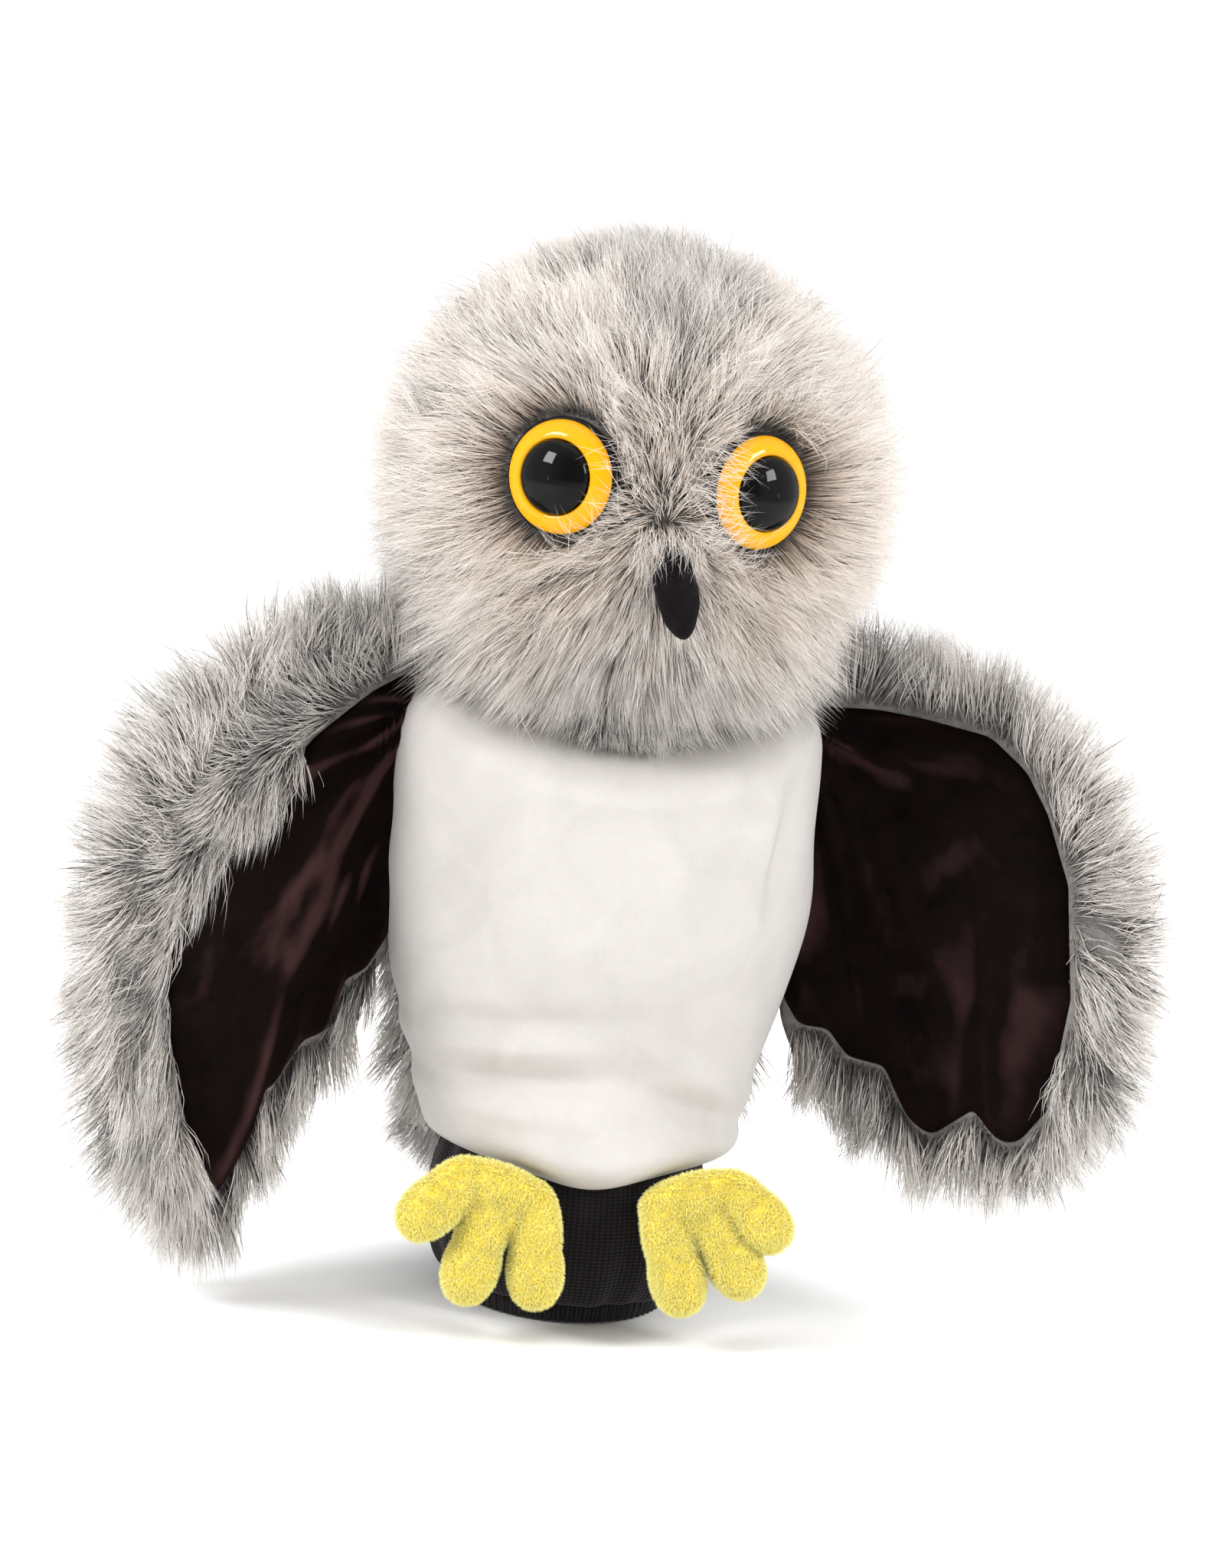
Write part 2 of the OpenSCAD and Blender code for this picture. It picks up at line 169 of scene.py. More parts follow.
def add_mesh(name, verts, faces, material, smooth=True):
    """A mesh object from an (n, 3) array of points in millimetres, and a list of face arrays."""
    mesh = bpy.data.meshes.new(name)
    counts = np.concatenate([np.full(len(f), f.shape[1]) for f in faces])
    corners = np.concatenate([f.ravel() for f in faces])
    mesh.vertices.add(len(verts))
    mesh.vertices.foreach_set("co", (np.asarray(verts) * MM).astype(np.float32).ravel())
    mesh.loops.add(len(corners))
    mesh.loops.foreach_set("vertex_index", corners.astype(np.int32))
    mesh.polygons.add(len(counts))
    mesh.polygons.foreach_set("loop_start", (np.cumsum(counts) - counts).astype(np.int32))
    mesh.polygons.foreach_set("use_smooth", np.full(len(counts), smooth))
    mesh.update(calc_edges=True)
    mesh.materials.append(material)
    piece = bpy.data.objects.new(name, mesh)
    bpy.context.scene.collection.objects.link(piece)
    return piece


def grid_faces(rows, cols, closed=False):
    """The quads of a grid of points, whose columns may close on themselves."""
    i, j = np.meshgrid(np.arange(rows - 1), np.arange(cols if closed else cols - 1), indexing="ij")
    i, j = i.ravel(), j.ravel()
    k = (j + 1) % cols
    return np.stack([i * cols + j, i * cols + k, (i + 1) * cols + k, (i + 1) * cols + j], 1)


def unit(v):
    return v / np.maximum(np.linalg.norm(v, axis=-1, keepdims=True), 1e-12)


def cloth(name, outer, inner, material, closed=False):
    """A closed panel between two grids of points. The outer one's columns run anticlockwise."""
    rows, cols = outer.shape[:2]
    n = rows * cols
    face = grid_faces(rows, cols, closed)
    faces = [face, face[:, ::-1] + n]
    across = np.arange(cols if closed else cols - 1)
    low, next_low = across, (across + 1) % cols
    top, next_top = low + (rows - 1) * cols, next_low + (rows - 1) * cols
    faces.append(np.stack([next_low, low, low + n, next_low + n], 1))
    faces.append(np.stack([top, next_top, next_top + n, top + n], 1))
    if not closed:
        up = np.arange(rows - 1) * cols
        faces.append(np.stack([up, up + cols, up + cols + n, up + n], 1))
        up = up + cols - 1
        faces.append(np.stack([up + cols, up, up + n, up + cols + n], 1))
    return add_mesh(name, np.concatenate([outer.reshape(-1, 3), inner.reshape(-1, 3)]), faces, material)


def ramp(x, low, high):
    """0 below low, 1 above high, and a smooth climb between."""
    t = np.clip((x - low) / (high - low), 0, 1)
    return t * t * (3 - 2 * t)


def wander(points, scale, seed, octaves=3):
    """A cheap smooth noise, about -1 to 1: sines of seeded directions and phases, summed."""
    rng = np.random.default_rng(seed)
    total = np.zeros(points.shape[:-1])
    for octave in range(octaves):
        for _ in range(5):
            way = unit(rng.normal(size=3)) * (2 * math.pi / scale) * 1.7 ** octave
            total += np.sin(points @ way + rng.uniform(0, 2 * math.pi)) * 0.6 ** octave
    return total / 4


print("helpers ready")

# %% [markdown]
# ## Finishes
# Velour and plush have a short pile that glows at its edges, so they get sheen on the shader's own
# socket and a fine grain in the bump. Crushed velour also has patches where the pile lies another way,
# and the wings' lining velour gets a painted highlight on one side of each fold.
# Long pile is coloured along each strand, so its colour is looked up from the strand's own UV map:
# across the map is the family of shades, from black through grey and white to beige and brown, and up
# the map is the way from root to tip.

# %% Node helpers


def new_material(name):
    material = bpy.data.materials.new(name)
    material.use_nodes = True
    nodes = material.node_tree.nodes
    return material, nodes, material.node_tree.links, nodes["Principled BSDF"]


def colour_ramp(nodes, stops):
    """A colour ramp with the given (place, colour) stops."""
    node = nodes.new("ShaderNodeValToRGB")
    ends = node.color_ramp.elements
    for k, (place, colour) in enumerate(stops):
        stop = ends[k] if k < 2 else ends.new(place)
        stop.position = place
        stop.color = (*colour, 1)
    return node


def noise(nodes, links, scale, detail=3.0, roughness=0.6, distortion=0.0):
    """A noise in the object's own space. The scale is in features per metre."""
    place = nodes.new("ShaderNodeTexCoord")
    node = nodes.new("ShaderNodeTexNoise")
    settings(node, Scale=scale, Detail=detail, Roughness=roughness, Distortion=distortion)
    links.new(place.outputs["Object"], node.inputs["Vector"])
    return node


def bump(nodes, links, bsdf, height, strength, distance):
    node = nodes.new("ShaderNodeBump")
    settings(node, Strength=strength, Distance=distance)
    links.new(height, node.inputs["Height"])
    links.new(node.outputs["Normal"], bsdf.inputs["Normal"])


# %% Velour and plush cloth


def pile_cloth(name, dark, light, patch, grain, sheen, tint, rough=0.85, lift=0.00025, nap_and_painted_highlight=None):
    """A short pile: patches of two tones, a fine grain, and sheen. The last argument is the colour of a
    painted highlight, mixed in by a per-point value.
    """
    material, nodes, links, bsdf = new_material(name)
    patches = noise(nodes, links, patch, 4, 0.55, 0.6)
    fine = noise(nodes, links, grain, 2, 0.7)
    both = nodes.new("ShaderNodeMix")
    both.data_type = "FLOAT"
    settings(both, Factor=0.35)
    links.new(patches.outputs["Fac"], both.inputs["A"])
    links.new(fine.outputs["Fac"], both.inputs["B"])
    tone = colour_ramp(nodes, [(0.32, dark), (0.68, light)])
    links.new(both.outputs["Result"], tone.inputs["Fac"])
    colour = tone.outputs["Color"]
    if nap_and_painted_highlight is not None:
        # A per-point value mixes in the painted highlight colour: partly crushed-pile patches, partly a
        # painted highlight on fold slopes.
        lie = nodes.new("ShaderNodeAttribute")
        lie.attribute_name = "nap_and_painted_highlight"
        nap_and_highlight_mix = nodes.new("ShaderNodeMix")
        nap_and_highlight_mix.data_type = "RGBA"
        settings(nap_and_highlight_mix, B=(*nap_and_painted_highlight, 1))
        links.new(lie.outputs["Fac"], nap_and_highlight_mix.inputs["Factor"])
        links.new(colour, nap_and_highlight_mix.inputs["A"])
        colour = nap_and_highlight_mix.outputs["Result"]
    links.new(colour, bsdf.inputs["Base Color"])
    bump(nodes, links, bsdf, fine.outputs["Fac"], 0.5, lift)
    settings(bsdf, Roughness=rough, Specular_IOR_Level=0.2 if sheen > 0.1 else 0.05, Sheen_Weight=sheen,
             Sheen_Roughness=0.45, Sheen_Tint=(*tint, 1))
    return material


white_velour = pile_cloth("white_velour", (0.5, 0.475, 0.452), (0.585, 0.557, 0.532), 60, 2600,
                          0.12, (1.0, 0.98, 0.96))
# The last tone here is the colour of the painted highlight on the wing linings' folds.
brown_velour = pile_cloth("brown_velour", (0.0012, 0.0004, 0.0004), (0.006, 0.0022, 0.0021), 110, 2200,
                          0.05, (0.4, 0.2, 0.18), 0.8, 0.0003, nap_and_painted_highlight=(0.04, 0.019, 0.018))
black_velour = pile_cloth("black_velour", (0.003, 0.0025, 0.003), (0.009, 0.007, 0.0085), 300, 3000,
                          0.1, (0.25, 0.2, 0.24), 0.75)
yellow_backing = pile_cloth("yellow_backing", (0.9, 0.7, 0.05), (0.97, 0.84, 0.18), 200, 2500,
                            0.2, (1.0, 0.9, 0.4))
fur_backing = pile_cloth("fur_backing", (0.1, 0.095, 0.09), (0.24, 0.23, 0.22), 260, 1800,
                         0.1, (0.6, 0.58, 0.55))
lining_knit = pile_cloth("lining_knit", (0.004, 0.0035, 0.004), (0.012, 0.011, 0.012), 300, 2600,
                         0.2, (0.3, 0.28, 0.3))
fibre = pile_cloth("fibre", (0.7, 0.69, 0.66), (0.86, 0.85, 0.83), 150, 900, 0.3, (1, 1, 1), 0.95, 0.001)
print("cloth finishes:", [m.name for m in bpy.data.materials])

# %% Long pile
STRAND_MAP = "OFBake"        # the strands' own UV map: shade family across, root to tip upwards
SHADES = {                   # family: (place across the map, root, middle, tip)
    "black": (0.03, (0.006, 0.006, 0.006), (0.012, 0.012, 0.012), (0.03, 0.03, 0.03)),
    "charcoal": (0.18, (0.06, 0.056, 0.052), (0.2, 0.19, 0.18), (0.55, 0.52, 0.49)),
    "grey": (0.36, (0.15, 0.14, 0.13), (0.5, 0.465, 0.435), (0.82, 0.78, 0.745)),
    "silver": (0.54, (0.25, 0.225, 0.205), (0.74, 0.69, 0.645), (0.91, 0.87, 0.835)),
    "cream": (0.70, (0.4, 0.345, 0.305), (0.83, 0.76, 0.70), (0.93, 0.885, 0.845)),
    "beige": (0.86, (0.42, 0.34, 0.28), (0.8, 0.695, 0.61), (0.93, 0.865, 0.805)),
    "brown": (0.98, (0.22, 0.17, 0.14), (0.58, 0.475, 0.4), (0.9, 0.81, 0.73)),
}
MID_STRAND = 0.42


def strand_finish(name, families, rough):
    """Looks a strand's colour up from its UV map, by family across and by height along."""
    material, nodes, links, bsdf = new_material(name)
    where = nodes.new("ShaderNodeUVMap")
    where.uv_map = STRAND_MAP
    split = nodes.new("ShaderNodeSeparateXYZ")
    links.new(where.outputs["UV"], split.inputs["Vector"])
    rows = []
    for level in (1, 2, 3):
        row = colour_ramp(nodes, [(f[0], f[level]) for f in families])
        links.new(split.outputs["X"], row.inputs["Fac"])
        rows.append(row)
    colour = rows[0].outputs["Color"]
    for row, low, high in ((rows[1], 0.0, MID_STRAND), (rows[2], MID_STRAND, 1.0)):
        climb = nodes.new("ShaderNodeMapRange")
        settings(climb, From_Min=low, From_Max=high)
        links.new(split.outputs["Y"], climb.inputs["Value"])
        blend = nodes.new("ShaderNodeMix")
        blend.data_type = "RGBA"
        links.new(climb.outputs["Result"], blend.inputs["Factor"])
        links.new(colour, blend.inputs["A"])
        links.new(row.outputs["Color"], blend.inputs["B"])
        colour = blend.outputs["Result"]
    links.new(colour, bsdf.inputs["Base Color"])
    settings(bsdf, Roughness=rough, Specular_IOR_Level=0.25, Sheen_Weight=0.15)
    return material


fur = strand_finish("fur", list(SHADES.values()), 0.6)
YELLOW_SHADES = [
    (0.0, (0.94, 0.77, 0.1), (1.0, 0.88, 0.2), (1.0, 0.92, 0.28)),
    (1.0, (0.97, 0.84, 0.18), (1.0, 0.94, 0.34), (1.0, 0.97, 0.46)),
]
yellow_pile = strand_finish("yellow_pile", YELLOW_SHADES, 0.7)
print("strand shades:", list(SHADES))

# %% Glossy plastic and knit


def plastic(name, colour, rough, gloss=1.5, grain=0.00001):
    """Moulded plastic with a clear coat, and a trace of orange peel in its surface."""
    material, nodes, links, bsdf = new_material(name)
    wave = noise(nodes, links, 900, 1)
    tone = colour_ramp(nodes, [(0.3, tuple(c * 0.92 for c in colour)), (0.7, colour)])
    links.new(wave.outputs["Fac"], tone.inputs["Fac"])
    links.new(tone.outputs["Color"], bsdf.inputs["Base Color"])
    bump(nodes, links, bsdf, wave.outputs["Fac"], 0.15, grain)
    settings(bsdf, Roughness=rough, Coat_Weight=1.0, Coat_Roughness=0.02, Coat_IOR=gloss,
             Specular_IOR_Level=0.0)
    return material


pupil_black = plastic("pupil_black", (0.001, 0.001, 0.0012), 0.3, 1.25)
rim_black = plastic("rim_black", (0.004, 0.004, 0.005), 0.3, 1.3)
iris_yellow = plastic("iris_yellow", (0.8, 0.37, 0.0005), 0.3, 1.35)
washer_white = plastic("washer_white", (0.8, 0.8, 0.78), 0.4)


def knit_finish(name, wales, courses):
    """Fine stockinette: wales up the tube and courses round it, cut into the bump by two waves, which also
    paint shade into the hollows between stitches.
    """
    material, nodes, links, bsdf = new_material(name)
    where = nodes.new("ShaderNodeUVMap")
    where.uv_map = "knit"
    heights = []
    for way, count in (("X", wales), ("Y", courses)):
        wave = nodes.new("ShaderNodeTexWave")
        wave.wave_type = "BANDS"
        wave.bands_direction = way
        settings(wave, Scale=count / (2 * math.pi) * 2, Distortion=0.6, Detail_Scale=2.0)
        links.new(where.outputs["UV"], wave.inputs["Vector"])
        heights.append(wave.outputs["Fac"])
    both = nodes.new("ShaderNodeMath")
    both.operation = "MULTIPLY"
    links.new(heights[0], both.inputs[0])
    links.new(heights[1], both.inputs[1])
    # Painted shade: the colour follows the knit's height, darker in the hollows between stitches and
    # lighter on their tops.
    tone = colour_ramp(nodes, [(0.0, (0.0015, 0.0012, 0.0014)), (1.0, (0.012, 0.0095, 0.011))])
    links.new(both.outputs["Value"], tone.inputs["Fac"])
    links.new(tone.outputs["Color"], bsdf.inputs["Base Color"])
    bump(nodes, links, bsdf, both.outputs["Value"], 0.8, 0.0003)
    settings(bsdf, Roughness=0.85, Specular_IOR_Level=0.2, Sheen_Weight=0.2, Sheen_Tint=(0.4, 0.36, 0.4, 1))
    return material


black_knit = knit_finish("black_knit", 150, 40)
print("finishes:", len(bpy.data.materials))

# %% [markdown]
# ## Growing pile
# A strand is a thin three-sided tube that narrows to a point, so it is real geometry and a closed solid.
# It leaves the cloth along one direction and ends along another, which gives its bend. Real pile gathers
# in tufts: each strand leans towards the nearest of a few leading strands, more and more towards its tip.
# The roots are scattered over the cloth's triangles by area, and carry the comb direction with them.

# %% Scatter roots over cloth


def scatter(verts, tris, count, rng, *values):
    """Random points on triangles, with their normals and the values of each vertex array there."""
    a, b, c = verts[tris[:, 0]], verts[tris[:, 1]], verts[tris[:, 2]]
    cross = np.cross(b - a, c - a)
    area = np.linalg.norm(cross, axis=1)
    pick = rng.choice(len(tris), count, p=area / area.sum())
    u, v = rng.random(count), rng.random(count)
    over = u + v > 1
    u[over], v[over] = 1 - u[over], 1 - v[over]
    w = np.stack([1 - u - v, u, v], 1)[:, :, None]
    place = (verts[tris[pick]] * w).sum(1)
    carried = [(x.reshape(len(verts), -1)[tris[pick]] * w).sum(1) for x in values]
    return [place, unit(cross[pick])] + carried


def triangles(quads):
    return np.concatenate([quads[:, [0, 1, 2]], quads[:, [0, 2, 3]]])


# %% Grow strands
RINGS = 3                                   # rings of three points below the tip
RING_WIDTH = (1.0, 0.85, 0.5)


def tufts(roots, paths, per_tuft, pull, rng):
    """Draws each strand's path towards its nearest leader's, more so towards the tip."""
    count = len(roots)
    leaders = rng.choice(count, max(1, count // per_tuft), replace=False)
    tree = KDTree(len(leaders))
    for k, leader in enumerate(leaders):
        tree.insert(roots[leader], k)
    tree.balance()
    nearest = leaders[np.array([tree.find(r)[1] for r in roots])]
    share = pull * rng.uniform(0.35, 1.0, (count, 1, 1))
    along = (np.arange(RINGS + 1) / RINGS)[None, :, None] ** 1.5
    return paths + (paths[nearest] - paths) * share * along


def grow(name, roots, start, end, length, shade, material, rng, width=0.28, per_tuft=14, pull=0.6):
    """A mesh of strands. start and end are each strand's direction at its root and at its tip."""
    count = len(roots)
    paths = [roots]
    for k in range(RINGS):
        t = (k + 0.5) / RINGS
        paths.append(paths[-1] + unit(start * (1 - t) + end * t) * (length / RINGS)[:, None])
    paths = tufts(roots, np.stack(paths, 1), per_tuft, pull, rng)
    tangent = unit(paths[:, 1:] - paths[:, :-1])
    across = unit(np.cross(tangent, unit(rng.normal(size=(count, 1, 3)))))
    upright = np.cross(tangent, across)
    verts = np.empty((count, 3 * RINGS + 1, 3))
    spread = rng.uniform(0.75, 1.25, (count, 1)) * width
    for k in range(RINGS):
        for corner in range(3):
            turn = 2 * math.pi * corner / 3
            off = across[:, k] * math.cos(turn) + upright[:, k] * math.sin(turn)
            verts[:, 3 * k + corner] = paths[:, k] + off * spread * RING_WIDTH[k] / 2
    verts[:, -1] = paths[:, -1]
    sides = [(3 * k + c, 3 * k + (c + 1) % 3, 3 * k + 3 + (c + 1) % 3, 3 * k + 3 + c)
             for k in range(RINGS - 1) for c in range(3)]
    last = 3 * (RINGS - 1)
    tips = [(last + c, last + (c + 1) % 3, 3 * RINGS) for c in range(3)] + [(0, 2, 1)]
    base = (np.arange(count) * (3 * RINGS + 1))[:, None, None]
    faces = [(base + np.array(sides)).reshape(-1, 4), (base + np.array(tips)).reshape(-1, 3)]
    piece = add_mesh(name, verts.reshape(-1, 3), faces, material)
    height = np.array([k / RINGS for k in range(RINGS) for _ in range(3)] + [1.0])
    sway = np.array([0, 0.004, 0.008] * RINGS + [0.004])
    u = (np.clip(shade, 0.01, 0.985)[:, None] + sway).ravel()
    v = np.tile(0.02 + 0.96 * height, count)
    corners = np.concatenate([f.ravel() for f in faces])
    piece.data.uv_layers.new(name=STRAND_MAP).data.foreach_set(
        "uv", np.stack([u[corners], v[corners]], 1).astype(np.float32).ravel())
    return piece


def family(name):
    return SHADES[name][0]


print("strand faces each:", len(RING_WIDTH) * 3 - 3 + 4)

# %% [markdown]
# ## The head's fur
# The head is six fur panels sewn into a ball round the stuffing. A groomer combs the pile away from one
# point, the bridge just above the beak: short and almost upright there, longer and flatter further out,
# and hanging down at the back. So each strand's place is two angles about the bridge: how far round
# from straight up, and how far out. Those angles also say which cloth it grows on: a charcoal wedge
# that opens up over the crown, cream brows beside it, beige cheeks, and mottled silver round the rim.
# Near the eyes the pile is parted by hand, and a narrow ring of darker brown strands lies beside each eye's
# rim.

# %% The head's ball, the bridge and the eyes' places
HEAD = np.array([0.0, 0.0, 220.0])
SKIN_R = 54.0
EYE_R = 14.6


def direction(turn, lift):
    """A unit vector, from degrees right of straight ahead and degrees up."""
    turn, lift = math.radians(turn), math.radians(lift)
    return np.array([math.sin(turn) * math.cos(lift), -math.cos(turn) * math.cos(lift), math.sin(lift)])


BRIDGE = direction(0, -6)
EYES = {side: (HEAD + 57 * direction(s * 26, 4.8), direction(s * 33, 3))
        for side, s in (("left", -1.09), ("right", 0.88))}
EYE_WAYS = [unit(seat - HEAD) for seat, look in EYES.values()]
bridge_up = unit(np.array([0, 0, 1.0]) - BRIDGE * BRIDGE[2])
bridge_side = np.cross(bridge_up, BRIDGE)


def bridge_angles(ways):
    """Degrees out from the bridge, and degrees round it from straight up, both as positive numbers."""
    out = np.degrees(np.arccos(np.clip(ways @ BRIDGE, -1, 1)))
    turn = np.degrees(np.arctan2(np.abs(ways @ bridge_side), ways @ bridge_up))
    return out, turn


def head_comb(ways, rng):
    """The way the pile lies on the ball: away from the bridge, round the eyes, and down at the back."""
    out, turn = bridge_angles(ways)
    comb = ways - BRIDGE
    down = np.array([0, 0, -1.0]) + np.zeros_like(ways)
    comb = comb * (1 - ramp(out, 85, 125))[:, None] + down * ramp(out, 80, 125)[:, None]
    comb = unit(comb - ways * (comb * ways).sum(1, keepdims=True))
    for eye in EYE_WAYS:
        away = ways - eye
        gap = np.linalg.norm(away, axis=1) * SKIN_R
        away = unit(away - ways * (away * ways).sum(1, keepdims=True))
        inner = ramp(-(ways - eye)[:, 0] * np.sign(eye[0]) * SKIN_R, 2, 12)
        share = ((1 - ramp(gap, EYE_R - 3, EYE_R + 8)) * (1 - 0.9 * inner))[:, None]
        comb = unit(comb * (1 - share) + away * share * 1.1)
    swirl = np.stack([wander(ways * SKIN_R, 17, 40 + k, 2) for k in range(3)], 1)
    comb = comb + rng.normal(size=ways.shape) * 0.32 + swirl * 0.6
    return unit(comb - ways * (comb * ways).sum(1, keepdims=True))


def eye_gap(ways):
    """How far a root is from the nearer eye's middle, over the ball."""
    return np.min([np.linalg.norm(ways - eye, axis=1) * SKIN_R for eye in EYE_WAYS], axis=0)


print("eyes:", [[round(float(v), 1) for v in seat] for seat, look in EYES.values()])

# %% Which shade each head strand has


def head_shades(ways, rng):
    """A shade family for each strand, by its place about the bridge."""
    out, turn = bridge_angles(ways)
    blur = rng.normal(size=len(ways))
    patch = wander(ways * SKIN_R, 26, 5)
    turn, out = turn + blur * 5 + patch * 6, out + blur * 4 + patch * 7
    near_eye = eye_gap(ways) + blur * 1.5 + patch * 2
    shade = np.where(rng.random(len(ways)) < 0.4, family("silver"), family("cream"))
    shade[rng.random(len(ways)) < 0.2] = family("grey")
    shade[(patch > -0.2) & (rng.random(len(ways)) < 0.4)] = family("beige")
    shade[(patch < -0.3) & (rng.random(len(ways)) < 0.5) & (out > 55)] = family("charcoal")
    cheek = (out < 58) & (turn > 48) & (turn < 150)
    shade[cheek] = family("beige")
    shade[cheek & (out > 44) & (rng.random(len(ways)) < 0.45)] = family("cream")
    chin = (turn > 138) & (out > 34)
    shade[chin & (rng.random(len(ways)) < 0.35)] = family("grey")
    shade[chin & (rng.random(len(ways)) < 0.12)] = family("charcoal")
    brow = (turn < 48) & (out < 75)
    shade[brow & (rng.random(len(ways)) < 0.8)] = family("cream")
    wedge = (turn < 3 + 14 * ramp(out, 28, 70)) & (out > 29) & (rng.random(len(ways)) < 0.75)
    shade[wedge] = family("charcoal")
    shade[wedge & (rng.random(len(ways)) < 0.3 + 0.35 * ramp(out, 35, 60))] = family("grey")
    # A narrow ring of darker brown strands beside each eye's rim.
    shade[(near_eye < EYE_R + 1.5) & (turn > 30) & (rng.random(len(ways)) < 0.7)] = family("brown")
    bridge = (out < 31) & (turn < 75)
    shade[bridge] = family("beige")
    shade[bridge & (rng.random(len(ways)) < 0.35)] = family("cream")
    return shade + rng.normal(size=len(ways)) * 0.02


# %% Comb and grow the head
HEAD_PIECES = {     # piece: (the CAD panels it stands for, strands a square millimetre, width, place)
    "face_fur_left": (("face_panel",), 2.7, 0.22, lambda p: (p[:, 1] < -30) & (p[:, 0] < 0)),
    "face_fur_right": ((), 2.7, 0.22, lambda p: (p[:, 1] < -30) & (p[:, 0] >= 0)),
    "nape_fur": (("back_head_panel",), 0.8, 0.34,
                 lambda p: (p[:, 1] > 0) & (p[:, 2] < 0) & (p[:, 2] > -38) & (abs(p[:, 0]) < 25)),
    "chin_fur": (("chin_gusset",), 1.6, 0.28, lambda p: (p[:, 1] >= -30) & (p[:, 2] < -38)),
    "crown_fur": (("crown_gusset",), 1.8, 0.26,
                  lambda p: (p[:, 1] >= -30) & (abs(p[:, 0]) < 14) & (p[:, 2] > 0)),
    "side_fur_left": (("left_head_panel",), 1.3, 0.27, lambda p: p[:, 0] < 0),
    "side_fur_right": (("right_head_panel",), 1.3, 0.27, lambda p: p[:, 0] >= 0),
}                   # a place that two of them could have goes to the first
BALL = 4 * math.pi * SKIN_R ** 2
head_rng = np.random.default_rng(11)
taken = []
for label, (nodes, density, width, inside) in HEAD_PIECES.items():
    ways = unit(head_rng.normal(size=(int(BALL * density), 3)))
    spot = ways * 60
    keep = inside(spot) & (eye_gap(ways) > EYE_R + 0.3)
    keep &= (np.hypot(spot[:, 0], spot[:, 1]) > 16) | (ways[:, 2] > 0)
    for other in taken:
        keep &= ~other(spot)
    taken.append(inside)
    beak_gap = np.hypot(ways[:, 0] * SKIN_R - 2, ways[:, 2] * SKIN_R + 18)
    keep &= ~((ways[:, 1] < 0) & (beak_gap < 4.5))
    ways = ways[keep]
    comb = head_comb(ways, head_rng)
    out, turn = bridge_angles(ways)
    length = 12.5 + 10.5 * ramp(out, 8, 48)
    length *= head_rng.uniform(0.7, 1.2, len(ways))
    near_eye = 1 - ramp(eye_gap(ways), EYE_R, EYE_R + 5)
    length *= 1 - 0.15 * near_eye
    low = ramp(-ways[:, 2], 0.4, 0.75)[:, None]
    hang = unit(ways * np.array([1.15, 0.9, 0])) * 0.75 + np.array([0, 0, -0.62])
    upright = (1.0 - 0.25 * ramp(out, 10, 50) + 0.6 * near_eye)[:, None]
    start = unit(ways * upright + comb * 0.45)
    stand = (0.75 - 0.3 * ramp(out, 10, 60) + 0.55 * near_eye)[:, None]
    above = ramp(ways[:, 2], -0.1, 0.5)
    end = unit(ways * stand + comb * 0.85 + np.array([0, 0, -0.1]))
    end[:, 2] *= 1 - 0.2 * above
    start[:, 2] *= 1 - 0.15 * above
    chin_front = ramp(-ways[:, 2], 0.35, 0.7) * ramp(-ways[:, 1], 0.1, 0.45)
    crown, behind = np.maximum(ways[:, 2], 0) ** 1.5, ramp(ways[:, 1], 0.2, 0.7)
    length *= 1 - 0.28 * crown - 0.08 * behind + 0.1 * ramp(-ways[:, 2], 0.35, 0.7)
    length *= 1 - 0.12 * chin_front
    end = unit(end * (1 - low) + hang * low)
    stray = (head_rng.random(len(ways)) < 0.05) & (ways[:, 1] < 0.2)
    length[stray] *= 1.22
    end[stray] = unit(end[stray] + head_rng.normal(size=(stray.sum(), 3)) * 0.45)
    jowl = ramp(-ways[:, 2], 0.45, 0.7) * ramp(np.abs(ways[:, 0]), 0.25, 0.5)
    length *= 1 + 0.16 * jowl
    piece = grow(label, HEAD + ways * SKIN_R, start, end, length, head_shades(ways, head_rng), fur,
                 head_rng, width, per_tuft=18, pull=0.66)
    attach(piece, "head")
    if nodes:
        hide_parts(*nodes)
    print(label, len(ways), "strands")

# %% [markdown]
# A groomer never gets every hair out of the way. Some long ones from the bridge lie across the inner
# side of each eye, more of them on the right, and others hang over the top of the beak.

# %% Wisps across the eyes and over the beak
wisp_rng = np.random.default_rng(17)
ways = unit(wisp_rng.normal(size=(90000, 3)))
chosen = []
for eye, seat_side, wanted in zip(EYE_WAYS, (-1, 1), (90, 260)):
    gap = np.linalg.norm(ways - eye, axis=1) * SKIN_R
    bearing = unit((ways - eye) * [1, 0, 1])
    inward = bearing @ unit(np.array([-seat_side, 0, -0.45]))
    found = ways[(gap > EYE_R + 0.5) & (gap < EYE_R + 7) & (inward > 0.45)][:wanted]
    toward = unit(eye - found)
    chosen.append((found, toward))
ways, toward = (np.concatenate(part) for part in zip(*chosen))
for label, ways, toward, jitter, low, high in (
        ("eye_wisps", ways, toward, 0.5, 13, 25),
        ("beak_wisps", unit(wisp_rng.uniform([-8, -54, -12], [8, -54, -3], (420, 3))),
         np.tile([0.0, 0.0, -1.0], (420, 1)), 0.42, 11, 17)):
    count = len(ways)
    aim = unit(toward + wisp_rng.normal(size=(count, 3)) * jitter)
    shade = np.full(count, family("cream")) + wisp_rng.normal(size=count) * 0.07
    wisps = grow(label, HEAD + ways * SKIN_R, unit(ways + aim * 0.15), unit(aim + ways * 0.34),
                 wisp_rng.uniform(low, high, count), shade, fur, wisp_rng, 0.17, per_tuft=3, pull=0.25)
    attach(wisps, "head")
    print(label, count)

